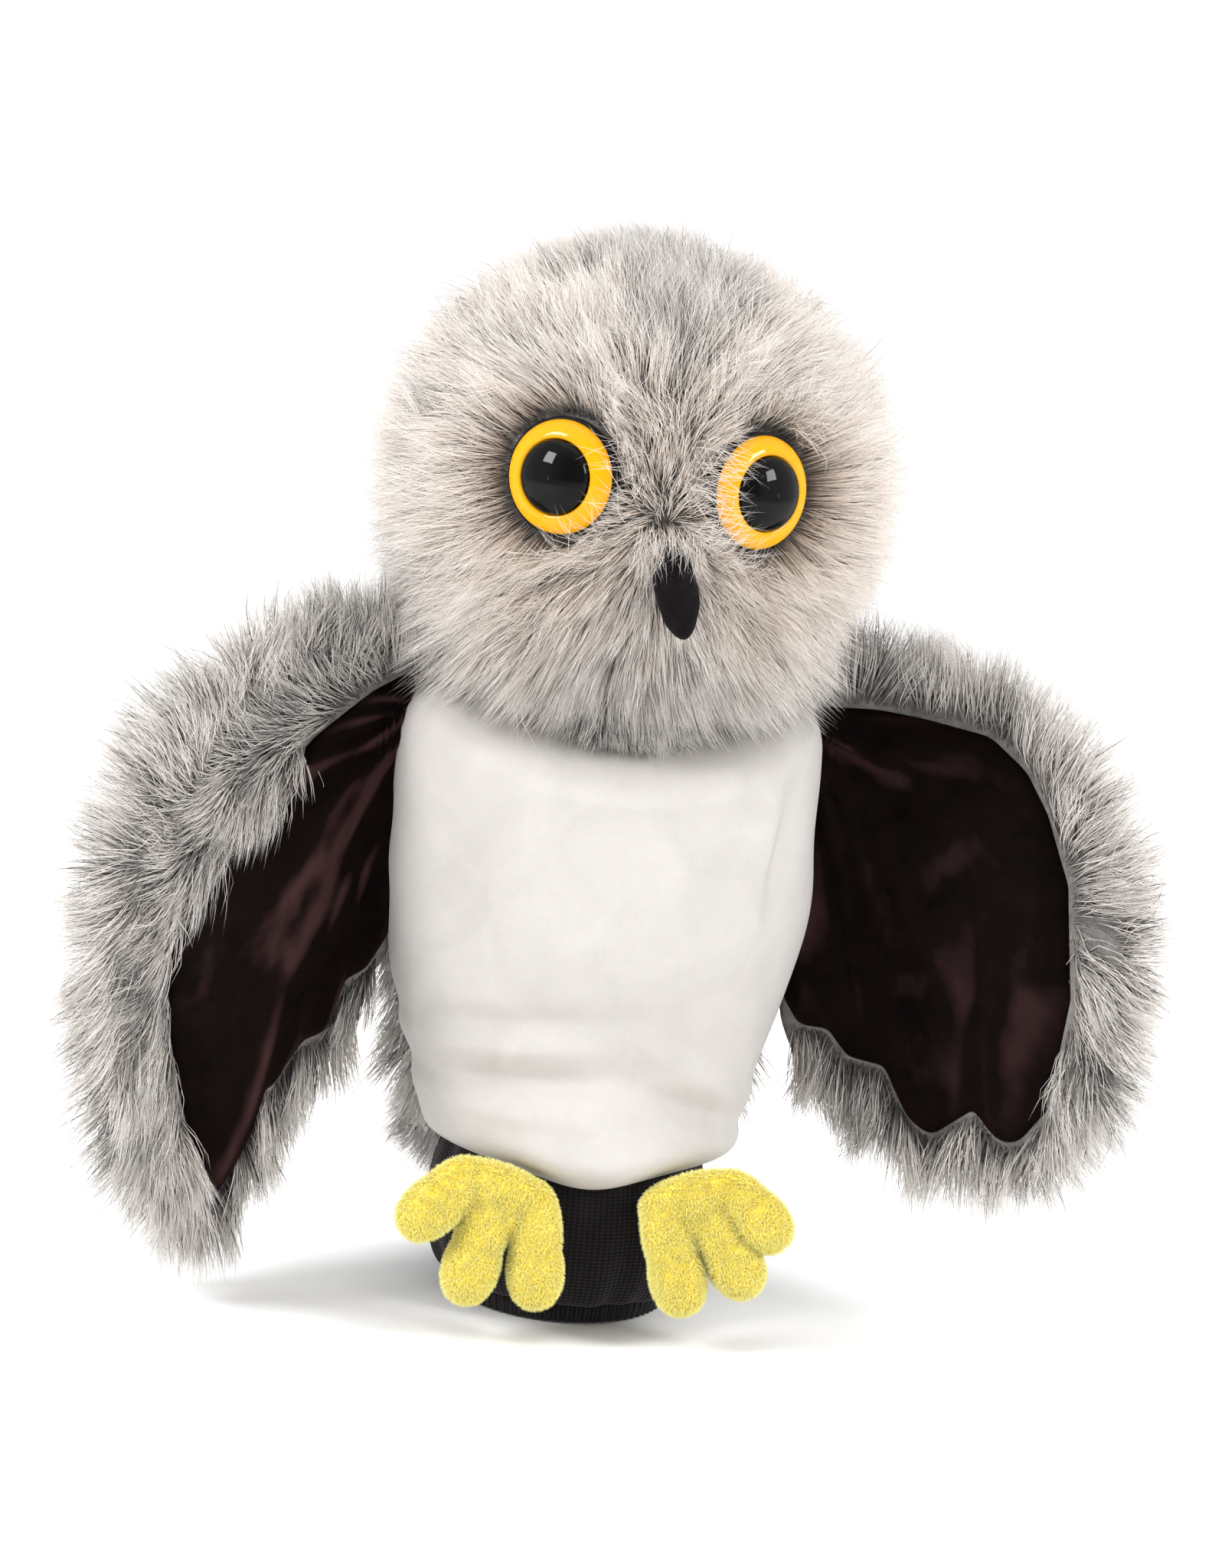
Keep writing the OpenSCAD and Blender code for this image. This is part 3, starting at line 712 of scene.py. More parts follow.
# %% The backing under the head's fur
turns = np.linspace(0, 2 * math.pi, 73)[:-1]
lifts = np.radians(np.linspace(-68, 89.5, 60))
ball = np.stack([np.cos(lifts)[:, None] * np.cos(turns), np.cos(lifts)[:, None] * np.sin(turns),
                 np.repeat(np.sin(lifts)[:, None], 72, 1)], -1)
head_backing = cloth("head_backing", HEAD + ball * (SKIN_R + 0.4), HEAD + ball * (SKIN_R - 1.2),
                     fur_backing, closed=True)
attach(head_backing, "head")
print("head backing:", len(head_backing.data.polygons), "faces")

# %% [markdown]
# ## Safety eyes and beak
# A safety eye is turned or moulded plastic: a black base plate on a ribbed shank, a domed yellow ring
# and a black pupil that stands proud of it. The fur closes over its rim, so it can't be picked out.
# Each part is a profile spun round the eye's axis. The beak is a small stuffed teardrop of black
# velour, sewn on under the bridge, so the pile above hides its top.

# %% Spin a profile round an axis


def spin(name, profile, centre, axis, material, steps=96):
    """A closed solid from (radius, height) pairs that go once round the profile."""
    axis = unit(np.asarray(axis, float))
    u = unit(np.cross(axis, [0.3, 0.1, 0.9]))
    w = np.cross(axis, u)
    turn = np.linspace(0, 2 * math.pi, steps + 1)[:-1]
    ring = np.cos(turn)[:, None] * u + np.sin(turn)[:, None] * w
    profile = np.asarray(profile, float)
    grid = centre + profile[:, None, :1] * ring + profile[:, None, 1:] * axis
    rows = len(profile)
    face = grid_faces(rows, steps, closed=True)
    wrap = np.arange(steps)
    join = np.stack([wrap + (rows - 1) * steps, (wrap + 1) % steps + (rows - 1) * steps,
                     (wrap + 1) % steps, wrap], 1)
    return add_mesh(name, grid.reshape(-1, 3), [face, join], material)


def dome_height(r, base, h):
    """The height of a dome at a radius, for a dome of a given base radius and rise."""
    big = (base ** 2 + h ** 2) / (2 * h)
    return np.sqrt(np.maximum(big ** 2 - np.minimum(r, base) ** 2, 0)) + h - big


RIM, IRIS, PUPIL = 15.0, 14.3, 9.3
for eye_side, (seat, look) in EYES.items():
    base = [(0.6, -12), (2.6, -12), (2.6, -2), (14.4, -2), (RIM, -1.2), (RIM, 0.5), (14.6, 1.0),
            (13.2, 1.1), (0.6, 0.7)]
    radii = np.linspace(IRIS, PUPIL, 22)
    bow = (radii - (IRIS + PUPIL) / 2) / ((IRIS - PUPIL) / 2)
    top = 0.8 + dome_height(radii, IRIS + 1.5, 5.2) + 1.5 * np.sqrt(1 - np.abs(bow) ** 3 * 0.999) - 1.0
    iris = [(PUPIL, 0.6), (IRIS, 0.6)] + [(r, h) for r, h in zip(radii, top)]
    radii = np.linspace(PUPIL - 0.05, 0.02, 16)
    top = 3.7 + 4.3 * np.sqrt(1 - (radii / (PUPIL + 0.3)) ** 2)
    pupil = [(0.02, 1.0), (PUPIL - 0.05, 1.0)] + [(r, h) for r, h in zip(radii, top)]
    for part, profile, finish, node in (("eye_rim", base, rim_black, "eye_base"),
                                        ("iris", iris, iris_yellow, "eye_iris"),
                                        ("pupil", pupil, pupil_black, "eye_pupil")):
        piece = spin(f"{eye_side}_{part}", profile, seat, look, finish)
        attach(piece, "head")
        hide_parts(f"{eye_side}_{node}")
print("eyes: domes", IRIS * 2, "mm across, pupils", PUPIL * 2)

# %% The beak
BEAK = np.array([2.2, -60.8, 200.2])
steps = np.linspace(0, math.pi, 40)
share = np.linspace(0, 1, 40)
beak_profile = np.stack([5.3 * np.sin(steps) ** 0.9 * (0.82 + 0.36 * share * (1 - share) * 2) + 0.02,
                         -12.6 + 25.2 * (1 - np.cos(steps)) / 2], 1)
tilt = math.radians(-25)
beak_axis = unit(np.array([-0.2, -math.sin(tilt), math.cos(tilt)]))
beak = spin("beak", beak_profile, BEAK, beak_axis, black_velour, 64)
beak_points = np.array([v.co for v in beak.data.vertices]) / MM
beak_points += unit(beak_points - BEAK) * wander(beak_points, 9, 3)[:, None] * 0.25
beak.data.vertices.foreach_set("co", (beak_points * MM).astype(np.float32).ravel())
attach(beak, "head")
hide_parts("beak_cover")
beak_fill = spin("beak_fill", beak_profile * [0.8, 0.9], BEAK, beak_axis, fibre, 32)
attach(beak_fill, "head")
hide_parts("beak_stuffing")
print("beak:", [round(v * 1000, 1) for v in beak.dimensions], "mm")

# %% [markdown]
# ## The torso bag
# The belly is smooth white velour and the back is fur cloth, sewn together down the sides. A soft bag on
# a hand never hangs flat: it is pushed out in one place and dented in another, and creases run across
# it near the hem and down from the arms. The folds are put into the panel itself as smooth ridges
# and dents, so they hold their shade from every side. Each fold has a place, a length, a depth and a
# heading, like a tailor's note.

# %% The torso's shape
HEM_Z, SHOULDER_Z, TOP_Z, WAIST_Z = 42.0, 140.0, 156.0, 125.0


def torso(level, angle, depth=0.0):
    """A point of the bag. level is 0 at the hem, 12 at the shoulder and 17 at the neck."""
    lift = np.radians(np.maximum(0, level - 12) / 5 * 58)
    z = HEM_Z + (SHOULDER_Z - HEM_Z) * np.minimum(level, 12) / 12
    under = ((WAIST_Z - z) / (WAIST_Z - HEM_Z)) ** 2 * (z < WAIST_Z)
    over = ((z - WAIST_Z) / (TOP_Z - WAIST_Z)) ** 2 * (z >= WAIST_Z)
    wide = (57 - 21 * under - 2.5 * over - depth) * np.cos(lift)
    deep = (46 - 12 * under - 2.5 * over - depth) * np.cos(lift)
    high = z + (TOP_Z - SHOULDER_Z - depth) * np.sin(lift)
    corner = np.cos(angle) ** 2 * ramp(level, 9, 13.5) * (1 - 0.35 * ramp(level, 14, 17))
    wide, high = wide - 1.5 * corner, high + 15.5 * corner
    return np.stack([wide * np.cos(angle), deep * np.sin(angle), high], -1)


FOLDS = [    # across and up in mm, heading in degrees from level, half length, half width, depth
    (-41, 112, 78, 17, 8, -3.4),      # the dent under the left arm
    (-30, 120, 60, 14, 4.5, 1.6),
    (-24, 82, 8, 22, 3.6, -1.5),      # creases across the lower left
    (-27, 74, 5, 24, 3.4, 1.3),
    (-22, 66, 6, 24, 3.2, -1.7),
    (-16, 58, 2, 22, 3.2, 1.5),
    (24, 60, -24, 20, 3.6, -1.9),     # the crease that runs to the right foot
    (28, 68, -30, 20, 4.0, 1.3),
    (43, 128, 84, 20, 4.2, -2.2),     # down from the right arm
    (36, 132, 80, 16, 4.5, 1.4),
    (2, 50, 0, 20, 3.6, 1.4),
    (10, 100, 15, 34, 17, 1.0),       # the fullness of the tummy
    (-6, 136, 4, 30, 6, -1.2),
]


def belly_push(points):
    """How far the folds push each point of the belly outwards, in mm."""
    push = wander(points * [1, 0, 1.5], 60, 21, 2) * 0.9
    for x, z, heading, long, wide, depth in FOLDS:
        c, s = math.cos(math.radians(heading)), math.sin(math.radians(heading))
        along = ((points[..., 0] - x) * c + (points[..., 2] - z) * s) / long
        over = (-(points[..., 0] - x) * s + (points[..., 2] - z) * c) / wide
        push = push + 1.35 * depth * np.exp(-along ** 2 - over ** 2)
    return push


levels, angles = np.meshgrid(np.linspace(0, 17, 150), np.radians(np.linspace(180.5, 359.5, 170)),
                             indexing="ij")
flat_belly = torso(levels, angles)
out_way = unit(flat_belly * [1, 1.4, 0] + 1e-9)
push = belly_push(flat_belly)
hem_lip = np.exp(-(flat_belly[..., 2] - 48) ** 2 / 110) * np.clip(-np.sin(angles), 0, 1) ** 0.7
push = push + 9.0 * hem_lip
tuck = np.clip(1 - levels / 0.7, 0, 1)
push = push - 8.0 * tuck ** 2
outer = flat_belly + out_way * push[..., None]
outer[..., 2] -= 4.5 * np.exp(-(outer[..., 0] / 16) ** 2) * np.clip(1 - levels / 2.2, 0, 1)
inner = outer - out_way * 3.0
belly = cloth("belly_skin", outer, inner, white_velour)
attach(belly, "torso")
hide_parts("belly_panel")
print("belly:", [round(v * 1000) for v in belly.dimensions], "mm with", len(FOLDS), "folds")

# %% The back panel and its fur
levels, angles = np.meshgrid(np.linspace(0, 17, 70), np.radians(np.linspace(0.5, 179.5, 80)), indexing="ij")
skin = torso(levels, angles, 2.5)
back_skin = cloth("back_skin", skin, torso(levels, angles, 5.0), fur_backing)
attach(back_skin, "torso")
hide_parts("back_panel")
back_rng = np.random.default_rng(31)
quads = triangles(grid_faces(70, 80))
for label, test in (("back_fur_left", lambda p: p[:, 0] < 0), ("back_fur_right", lambda p: p[:, 0] >= 0)):
    roots, normals = scatter(skin.reshape(-1, 3), quads, 17000, back_rng)
    keep = test(roots)
    roots, normals = roots[keep], normals[keep]
    count = len(roots)
    fall = np.array([0, 0.1, -1.0]) + back_rng.normal(size=(count, 3)) * 0.2
    shade = np.where(back_rng.random(count) < 0.55, family("silver"), family("grey"))
    shade[(wander(roots, 30, 8) < -0.2) & (back_rng.random(count) < 0.6)] = family("charcoal")
    side_lean = 1 - ramp(normals[:, 1], 0.05, 0.45)
    length = 19 * back_rng.uniform(0.75, 1.15, count) * (1 - 0.65 * side_lean)
    over_tail = np.exp(-((roots[:, 2] - 66) / 10) ** 2)[:, None] * (normals[:, 1:2] > 0.3)
    length = length + 9 * over_tail[:, 0]
    start = unit(normals * (0.55 + 0.7 * over_tail) + fall * 0.8)
    end = unit(normals * (0.2 + 0.25 * over_tail) + fall)
    piece = grow(label, roots, start, end, length, shade + back_rng.normal(size=count) * 0.02, fur,
                 back_rng, 0.36, per_tuft=16, pull=0.6)
    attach(piece, "torso")
    print(label, count, "strands")

# %% [markdown]
# ## The sleeve
# A tube of fine black stockinette is gathered into the hem and drawn in at the wrist by a rib, so it
# bags out below the puppet in a soft U. Its knit is a wave up and a wave round; its gathers are ripples
# that die out where it is widest.

# %% Knit sleeve and wrist rib


def knit_tube(name, radius, low, high, thick, ripple, folds, rows, seed):
    """A gathered tube between two heights, with a map for the knit."""
    turn = np.linspace(0, 2 * math.pi, 241)[:-1]
    z = np.linspace(low, high, rows)
    zz, tt = np.meshgrid(z, turn, indexing="ij")
    share = (zz - low) / (high - low)
    rng = np.random.default_rng(seed)
    wave = sum(np.sin(k * tt + rng.uniform(0, 6.3) + share * rng.uniform(-2, 2)) for k in folds)
    r = radius(zz) + ripple(share) * wave / len(folds)
    grids = [np.stack([(r - t) * np.cos(tt), (r - t) * np.sin(tt), zz], -1) for t in (0, thick)]
    piece = cloth(name, grids[0], grids[1], black_knit, closed=True)
    corners = np.empty(len(piece.data.loops), np.int32)
    piece.data.loops.foreach_get("vertex_index", corners)
    col, row = (corners % 240) / 240, (corners // 240 % rows) / (rows - 1)
    layer = piece.data.uv_layers.new(name="knit")
    layer.data.foreach_set("uv", np.stack([col, row], 1).astype(np.float32).ravel())
    return piece


def bag_radius(z):
    upper = 34.2 + 2.8 * np.cos(np.radians(90 * np.clip((z - 24) / 18, 0, 1)))
    lower = 28.5 + 8.5 * np.sqrt(np.clip(1 - ((24 - z) / 19) ** 2, 0, 1))
    return np.where(z > 24, upper, lower)


sleeve = knit_tube("sleeve", bag_radius, 5.5, 45.0, 1.4, lambda s: 0.5 + 1.1 * (1 - s) ** 3 + 0.5 * s ** 4,
                   (7, 11, 16, 23), 60, 3)
rib = knit_tube("wrist_rib", lambda z: 27.6 + 1.2 * np.sin((z / 9.5).clip(0, 1) * math.pi), 0.2, 9.5, 1.6,
                lambda s: 0.35 + 0 * s, (72,), 20, 4)
for piece, node in ((sleeve, "knit_sleeve"), (rib, "wrist_cuff")):
    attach(piece, "torso")
    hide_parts(node)
print("sleeve:", [round(v * 1000) for v in sleeve.dimensions], "mm")

# %% [markdown]
# ## Wings
# A wing is a fur cloth and a velour lining, sewn round the edge and turned. The fur cloth is cut larger,
# so its pile rolls over the edge and frames the lining. The wing hangs from the side seam and curls
# forward. Both cloths are cut from a paper pattern, which here is a list of points across and up. The
# lining's lower edge has blunt feather lobes, and seams run to its notches from the shoulder, so
# the velour puffs between them. The left wing hangs a little lower than the right, as the hand holds
# it. The pile is combed away from the wing's middle: up along the top, out along the side, and down
# at the tip.

# %% Patterns and the curl
LINING_CUT = {
    "left": [(53, 166), (65, 160), (81, 148), (96, 131), (108, 119), (114, 110), (118, 96), (117, 79),
             (111, 56), (104, 36), (98, 22), (94, 33), (89, 54), (84, 55), (77, 67), (70, 69), (66, 83),
             (60, 86), (53, 97)],
    "right": [(53, 163), (70, 164), (83, 163), (99, 161), (108, 154), (114, 144), (120, 127), (123, 98),
              (121, 68), (115, 56), (109, 54), (106, 63), (95, 52), (89, 56), (82, 69), (72, 70),
              (66, 77), (58, 77), (53, 84)],
}
FUR_CUT = {
    "left": [(46, 172), (60, 177), (72, 176), (92, 169), (108, 158), (120, 145), (127, 126), (129, 100),
             (128, 77), (122, 53), (114, 32), (104, 19), (94, 19), (87, 39), (82, 51), (74, 58), (66, 67),
             (60, 78), (53, 90)],
    "right": [(46, 171), (60, 175), (72, 174), (88, 171), (106, 165), (119, 150), (127, 130), (130, 100),
              (128, 74), (123, 60), (115, 51), (104, 48), (90, 48), (79, 57), (68, 63), (58, 67), (53, 78)],
}
SEAM_ENDS = {"left": [(91, 50), (80, 62), (67, 76)], "right": [(107, 61), (84, 65), (69, 74)]}
SEAM_START = (56, 158)
WIDEST = 145.5               # no strand's tip goes further out than this
MIDDLE = {"left": np.array([84.0, 108.0]), "right": np.array([92.0, 106.0])}
CURL_R = 77 * 180 / math.pi / 45


def curl(x):
    """How far forward the wing's middle surface is at a distance across, and its turn in radians."""
    turn = np.arcsin(np.clip((x - 65.5) / CURL_R + math.sin(math.radians(15)), -0.2, 0.985))
    return -CURL_R * (math.cos(math.radians(15)) - np.cos(turn)), turn


def on_wing(x, z, push, side):
    """A point of the wing, pushed out from its middle surface towards the fur side."""
    y, turn = curl(x)
    return np.stack([side * (x + push * np.sin(turn)), y + push * np.cos(turn), z], -1)


def fur_side_way(x, side):
    turn = curl(x)[1]
    return np.stack([side * np.sin(turn), np.cos(turn), 0 * turn], -1)


def reach_round(cut, middle, turns):
    """The distance from the middle to the pattern's edge, at each turn, a little rounded."""
    cut = np.array(cut, float) - middle
    here, there = cut, np.roll(cut, -1, 0)
    ways = np.stack([np.cos(turns), np.sin(turns)], 1)
    edge = there - here
    cross = ways[:, None, 0] * edge[:, 1] - ways[:, None, 1] * edge[:, 0]
    cross = np.where(np.abs(cross) < 1e-9, 1e-9, cross)
    far = (here[:, 0] * edge[:, 1] - here[:, 1] * edge[:, 0]) / cross
    along = (here[:, 0] * ways[:, None, 1] - here[:, 1] * ways[:, None, 0]) / cross
    hit = (far > 0) & (along >= -1e-6) & (along <= 1 + 1e-6)
    reach = np.where(hit, far, 0).max(1)
    for _ in range(3):
        reach = (np.roll(reach, 1) + 2 * reach + np.roll(reach, -1)) / 4
    return reach


def wing_disc(cut, label, rows, cols):
    """A round grid that fills a pattern: across, up, and the share of the way out to the edge."""
    turns = np.linspace(0, 2 * math.pi, cols + 1)[:-1]
    reach = reach_round(cut, MIDDLE[label], turns)
    share = np.linspace(0.0006, 1, rows) ** 0.85
    ways = np.stack([np.cos(turns), np.sin(turns)], 1)
    grid = MIDDLE[label] + share[:, None, None] * (reach[:, None] * ways)
    return grid[..., 0], grid[..., 1], np.repeat(share[:, None], cols, 1)


def fur_share(label, x, z):
    """How far out a place is on the fur cloth, 0 at its middle and 1 at its edge."""
    off = np.stack([x, z], -1) - MIDDLE[label]
    turns = np.arctan2(off[..., 1], off[..., 0]) % (2 * math.pi)
    table = np.linspace(0, 2 * math.pi, 361)
    reach = np.interp(turns, table, reach_round(FUR_CUT[label], MIDDLE[label], table))
    return np.linalg.norm(off, axis=-1) / reach


def core_swell(share):
    return 6.0 * np.sqrt(np.clip(1 - np.clip(share, 0, 1) ** 4, 0, 1))


def turned(grid, side):
    """The columns run the right way round on both sides."""
    return grid[:, ::-1] if side > 0 else grid


# %% The lining's puffs and folds


def lining_folds(label, x, z):
    """How far the velour stands out from the wing, by seams, long folds and a rolled outer lobe."""
    start = np.array(SEAM_START, float)
    off = np.stack([x, z], -1) - start
    reach = np.linalg.norm(off, axis=-1)
    near = np.full(x.shape, 99.0)
    for end in SEAM_ENDS[label]:
        way = unit(np.array(end, float) - start)
        near = np.minimum(near, np.abs(off[..., 0] * way[1] - off[..., 1] * way[0]))
    puff = 3.6 * (1 - np.exp(-(near / 5) ** 2)) * ramp(reach, 15, 50) - 1
    heading = np.arctan2(off[..., 1], off[..., 0] + 8)
    long_folds = np.stack([heading * 62, reach * 0.32, 0 * reach], -1)
    puff = puff + 2.6 * wander(long_folds, 26, 12 if label == "left" else 19, 3)
    puff = puff + 0.8 * wander(np.stack([x, z, 0 * x], -1), 22, 33, 2)
    if label == "right":
        fold = np.exp(-((x - 112 - 0.02 * (z - 90)) / 4.5) ** 2) * (1 - ramp(z, 92, 120))
        puff = puff + 3.2 * fold - 1.8 * np.exp(-((x - 103) / 3) ** 2) * (1 - ramp(z, 92, 125))
    return puff


# %% Cut, line and comb the wings
for label, side in (("left", -1), ("right", 1)):
    rng = np.random.default_rng(50 + side)
    x, z, share = wing_disc(FUR_CUT[label], label, 46, 150)
    back_face = on_wing(x, z, core_swell(share) + 0.3, side)
    front_face = on_wing(x, z, -core_swell(share) - 0.3, side)
    core = cloth(f"{label}_wing_skin", turned(back_face, side), turned(front_face, side), fur_backing,
                 closed=True)
    x_l, z_l, share_l = wing_disc(LINING_CUT[label], label, 110, 300)
    rim = 1 - ramp(share_l, 0.86, 1.0)
    roll = np.sqrt(np.clip(1 - ((share_l - 0.9) / 0.1).clip(0, 1) ** 2.5, 0, 1))
    stand = np.maximum(2.4 + lining_folds(label, x_l, z_l) * (0.25 + 0.75 * rim), 1.5) * roll
    front = -core_swell(fur_share(label, x_l, z_l)) - stand + 0.3 * (1 - roll)
    lining = cloth(f"{label}_wing_lining_velour", turned(on_wing(x_l, z_l, front + 0.9, side), side),
                   turned(on_wing(x_l, z_l, front, side), side), brown_velour, closed=True)
    # The lining's nap value: crushed-pile patches, plus a painted highlight on one side of each fold, taken
    # from the folds' slopes and weaker towards the edge.
    step = 1.5
    slope_x = lining_folds(label, x_l + step, z_l) - lining_folds(label, x_l - step, z_l)
    slope_z = lining_folds(label, x_l, z_l + step) - lining_folds(label, x_l, z_l - step)
    crush = wander(np.stack([x_l, z_l, 0 * x_l], -1), 9, 66, 3)
    nap_and_painted_highlight = np.clip(0.62 * slope_z - 0.5 * side * slope_x + 0.2 * crush - 0.2, 0, 1) * (0.3 + 0.7 * rim)
    # The painted highlight is weaker on the right wing.
    nap_and_painted_highlight = nap_and_painted_highlight * {"left": 1.0, "right": 0.55}[label]
    nap_and_painted_highlight = np.concatenate([turned(nap_and_painted_highlight, side).ravel(), turned(nap_and_painted_highlight, side).ravel()])
    lining.data.attributes.new("nap_and_painted_highlight", "FLOAT", "POINT").data.foreach_set("value", nap_and_painted_highlight.astype(np.float32))
    quads = triangles(grid_faces(46, 150, closed=True))
    flat = np.stack([x, z, share], -1).reshape(-1, 3)
    sets = []
    for face, count, front_only in ((back_face, 15000, False), (front_face, 26000, True)):
        roots, normals, spot = scatter(face.reshape(-1, 3), quads, count, rng, flat)
        if front_only:
            inside = np.linalg.norm(spot[:, :2] - MIDDLE[label], axis=1)
            turns = np.arctan2(spot[:, 1] - MIDDLE[label][1], spot[:, 0] - MIDDLE[label][0]) % (2 * math.pi)
            table = np.linspace(0, 2 * math.pi, 361)
            edge = np.interp(turns, table, reach_round(LINING_CUT[label], MIDDLE[label], table))
            keep = inside > edge + 0.6
        else:
            keep = rng.random(count) < 0.55 + 0.45 * ramp(spot[:, 2], 0.6, 0.95)
        keep &= (spot[:, 0] > 57) | (spot[:, 1] > 162)
        away = fur_side_way(spot[:, 0], side) * (-1 if front_only else 1)
        sets.append((roots[keep], away[keep], spot[keep]))
    roots, away, spot = (np.concatenate(part) for part in zip(*sets))
    count = len(roots)
    across = np.maximum(spot[:, 0] - MIDDLE[label][0], 5)
    comb = np.stack([side * across, 0 * across, spot[:, 1] - MIDDLE[label][1]], 1)
    flow = np.stack([side * np.maximum(spot[:, 0] - 48, 4), 0 * across, spot[:, 1] - 172], 1)
    open_part = (1 - ramp(spot[:, 2], 0.45, 0.95))[:, None]
    comb = unit(comb) * (1 - open_part) + unit(flow) * open_part + np.array([0, 0, -0.18])
    tip = ramp(-spot[:, 1], -62, -34)[:, None]
    comb = unit(comb * (1 - tip) + np.array([side * 0.2, 0, -1.0]) * tip)
    swirl = np.stack([wander(roots, 18, 80 + k, 2) for k in range(3)], 1)
    comb = unit(comb + rng.normal(size=(count, 3)) * 0.2 + swirl * 0.45)
    near_rim = ramp(spot[:, 2], 0.75, 1.0)[:, None]
    length = 20 * rng.uniform(0.68, 1.15, count)
    start = unit(comb * 0.75 + away * (0.8 - 0.3 * near_rim))
    end = unit(comb + away * (0.35 - 0.2 * near_rim) + np.array([0, 0, -0.12]))
    shade = np.where(rng.random(count) < 0.6, family("silver"), family("grey"))
    shade[(wander(roots, 24, 60 + side) < -0.25) & (rng.random(count) < 0.5)] = family("charcoal")
    shade[rng.random(count) < 0.08] = family("cream")
    guard = rng.random(count) < 0.05
    shade[guard] = family("black")
    length[guard] *= 1.1
    lean = (start[:, 0] + end[:, 0]) / 2
    room = WIDEST - np.abs(roots[:, 0] + lean * length)
    length = np.where(room < 0, length + room / np.maximum(np.abs(lean), 0.3), length)
    length = np.maximum(length, 6)
    upper = roots[:, 2] > 100
    for part, mask in (("upper", upper), ("lower", ~upper)):
        pile = grow(f"{label}_wing_fur_{part}", roots[mask], start[mask], end[mask], length[mask],
                    shade[mask] + rng.normal(size=mask.sum()) * 0.02, fur, rng, 0.3, per_tuft=18, pull=0.75)
        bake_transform(pile)
        print(pile.name, int(mask.sum()), "strands")
    for piece, finish, node in ((core, "owl_fur", f"{label}_wing_fur"),
                                (lining, "brown_velour", f"{label}_wing_lining")):
        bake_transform(piece)
        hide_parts(node)

# %% [markdown]
# The armhole in the side seam is stayed with a loop of tape, so that it can't stretch when a finger goes
# through. It is hidden inside the wing's root.

# %% Stay tapes
for label, side in (("left", -1), ("right", 1)):
    around = np.linspace(0, 2 * math.pi, 97)[:-1]
    loop = np.stack([np.cos(around) * 5.2, 128 + np.sin(around) * 4.8 + np.sign(np.sin(around)) * 17.5], 1)
    widths = (-0.8, 0.8)
    outer = np.array([[(side * (61 + w), y, z) for y, z in loop] for w in widths])
    inner = outer.copy()
    inner[..., 1] *= 0.72
    inner[..., 2] = 128 + (inner[..., 2] - 128) * 0.95
    tape = cloth(f"{label}_stay_tape", outer if side < 0 else outer[:, ::-1],
                 inner if side < 0 else inner[:, ::-1], fur_backing, closed=True)
    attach(tape, f"{label}_shoulder")
    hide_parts(f"{label}_wing_tape")
print("stay tapes: 2")

# %% [markdown]
# ## Feet
# Each foot is a stuffed yellow plush shape with three blunt toes. Stuffing makes each toe a sausage and
# leaves a deep crease between, so the toes are built as rounded solids and melted together at a fine
# grain. A 1.5 mm pile then softens every edge. The heels are tucked up under the belly's hem.

# %% Melt toes together and grow the plush
bpy.context.view_layer.update()


def blob(centre, way, long, wide, deep):
    """A rounded solid: half length, half width and half depth, lying along a direction."""
    bpy.ops.mesh.primitive_uv_sphere_add(segments=48, ring_count=32, radius=1, location=(0, 0, 0))
    piece = bpy.context.object
    way = unit(np.array(way))
    fore = np.array([0, -1.0, 0])
    across = unit(np.cross(way, fore))
    fore = np.cross(across, way)
    points = np.array([p.co for p in piece.data.vertices])
    points = np.sign(points) * np.abs(points) ** 0.92
    points = points[:, :1] * across * wide + points[:, 1:2] * fore * deep + points[:, 2:] * way * long
    piece.data.vertices.foreach_set("co", ((points + centre) * MM).astype(np.float32).ravel())
    return piece


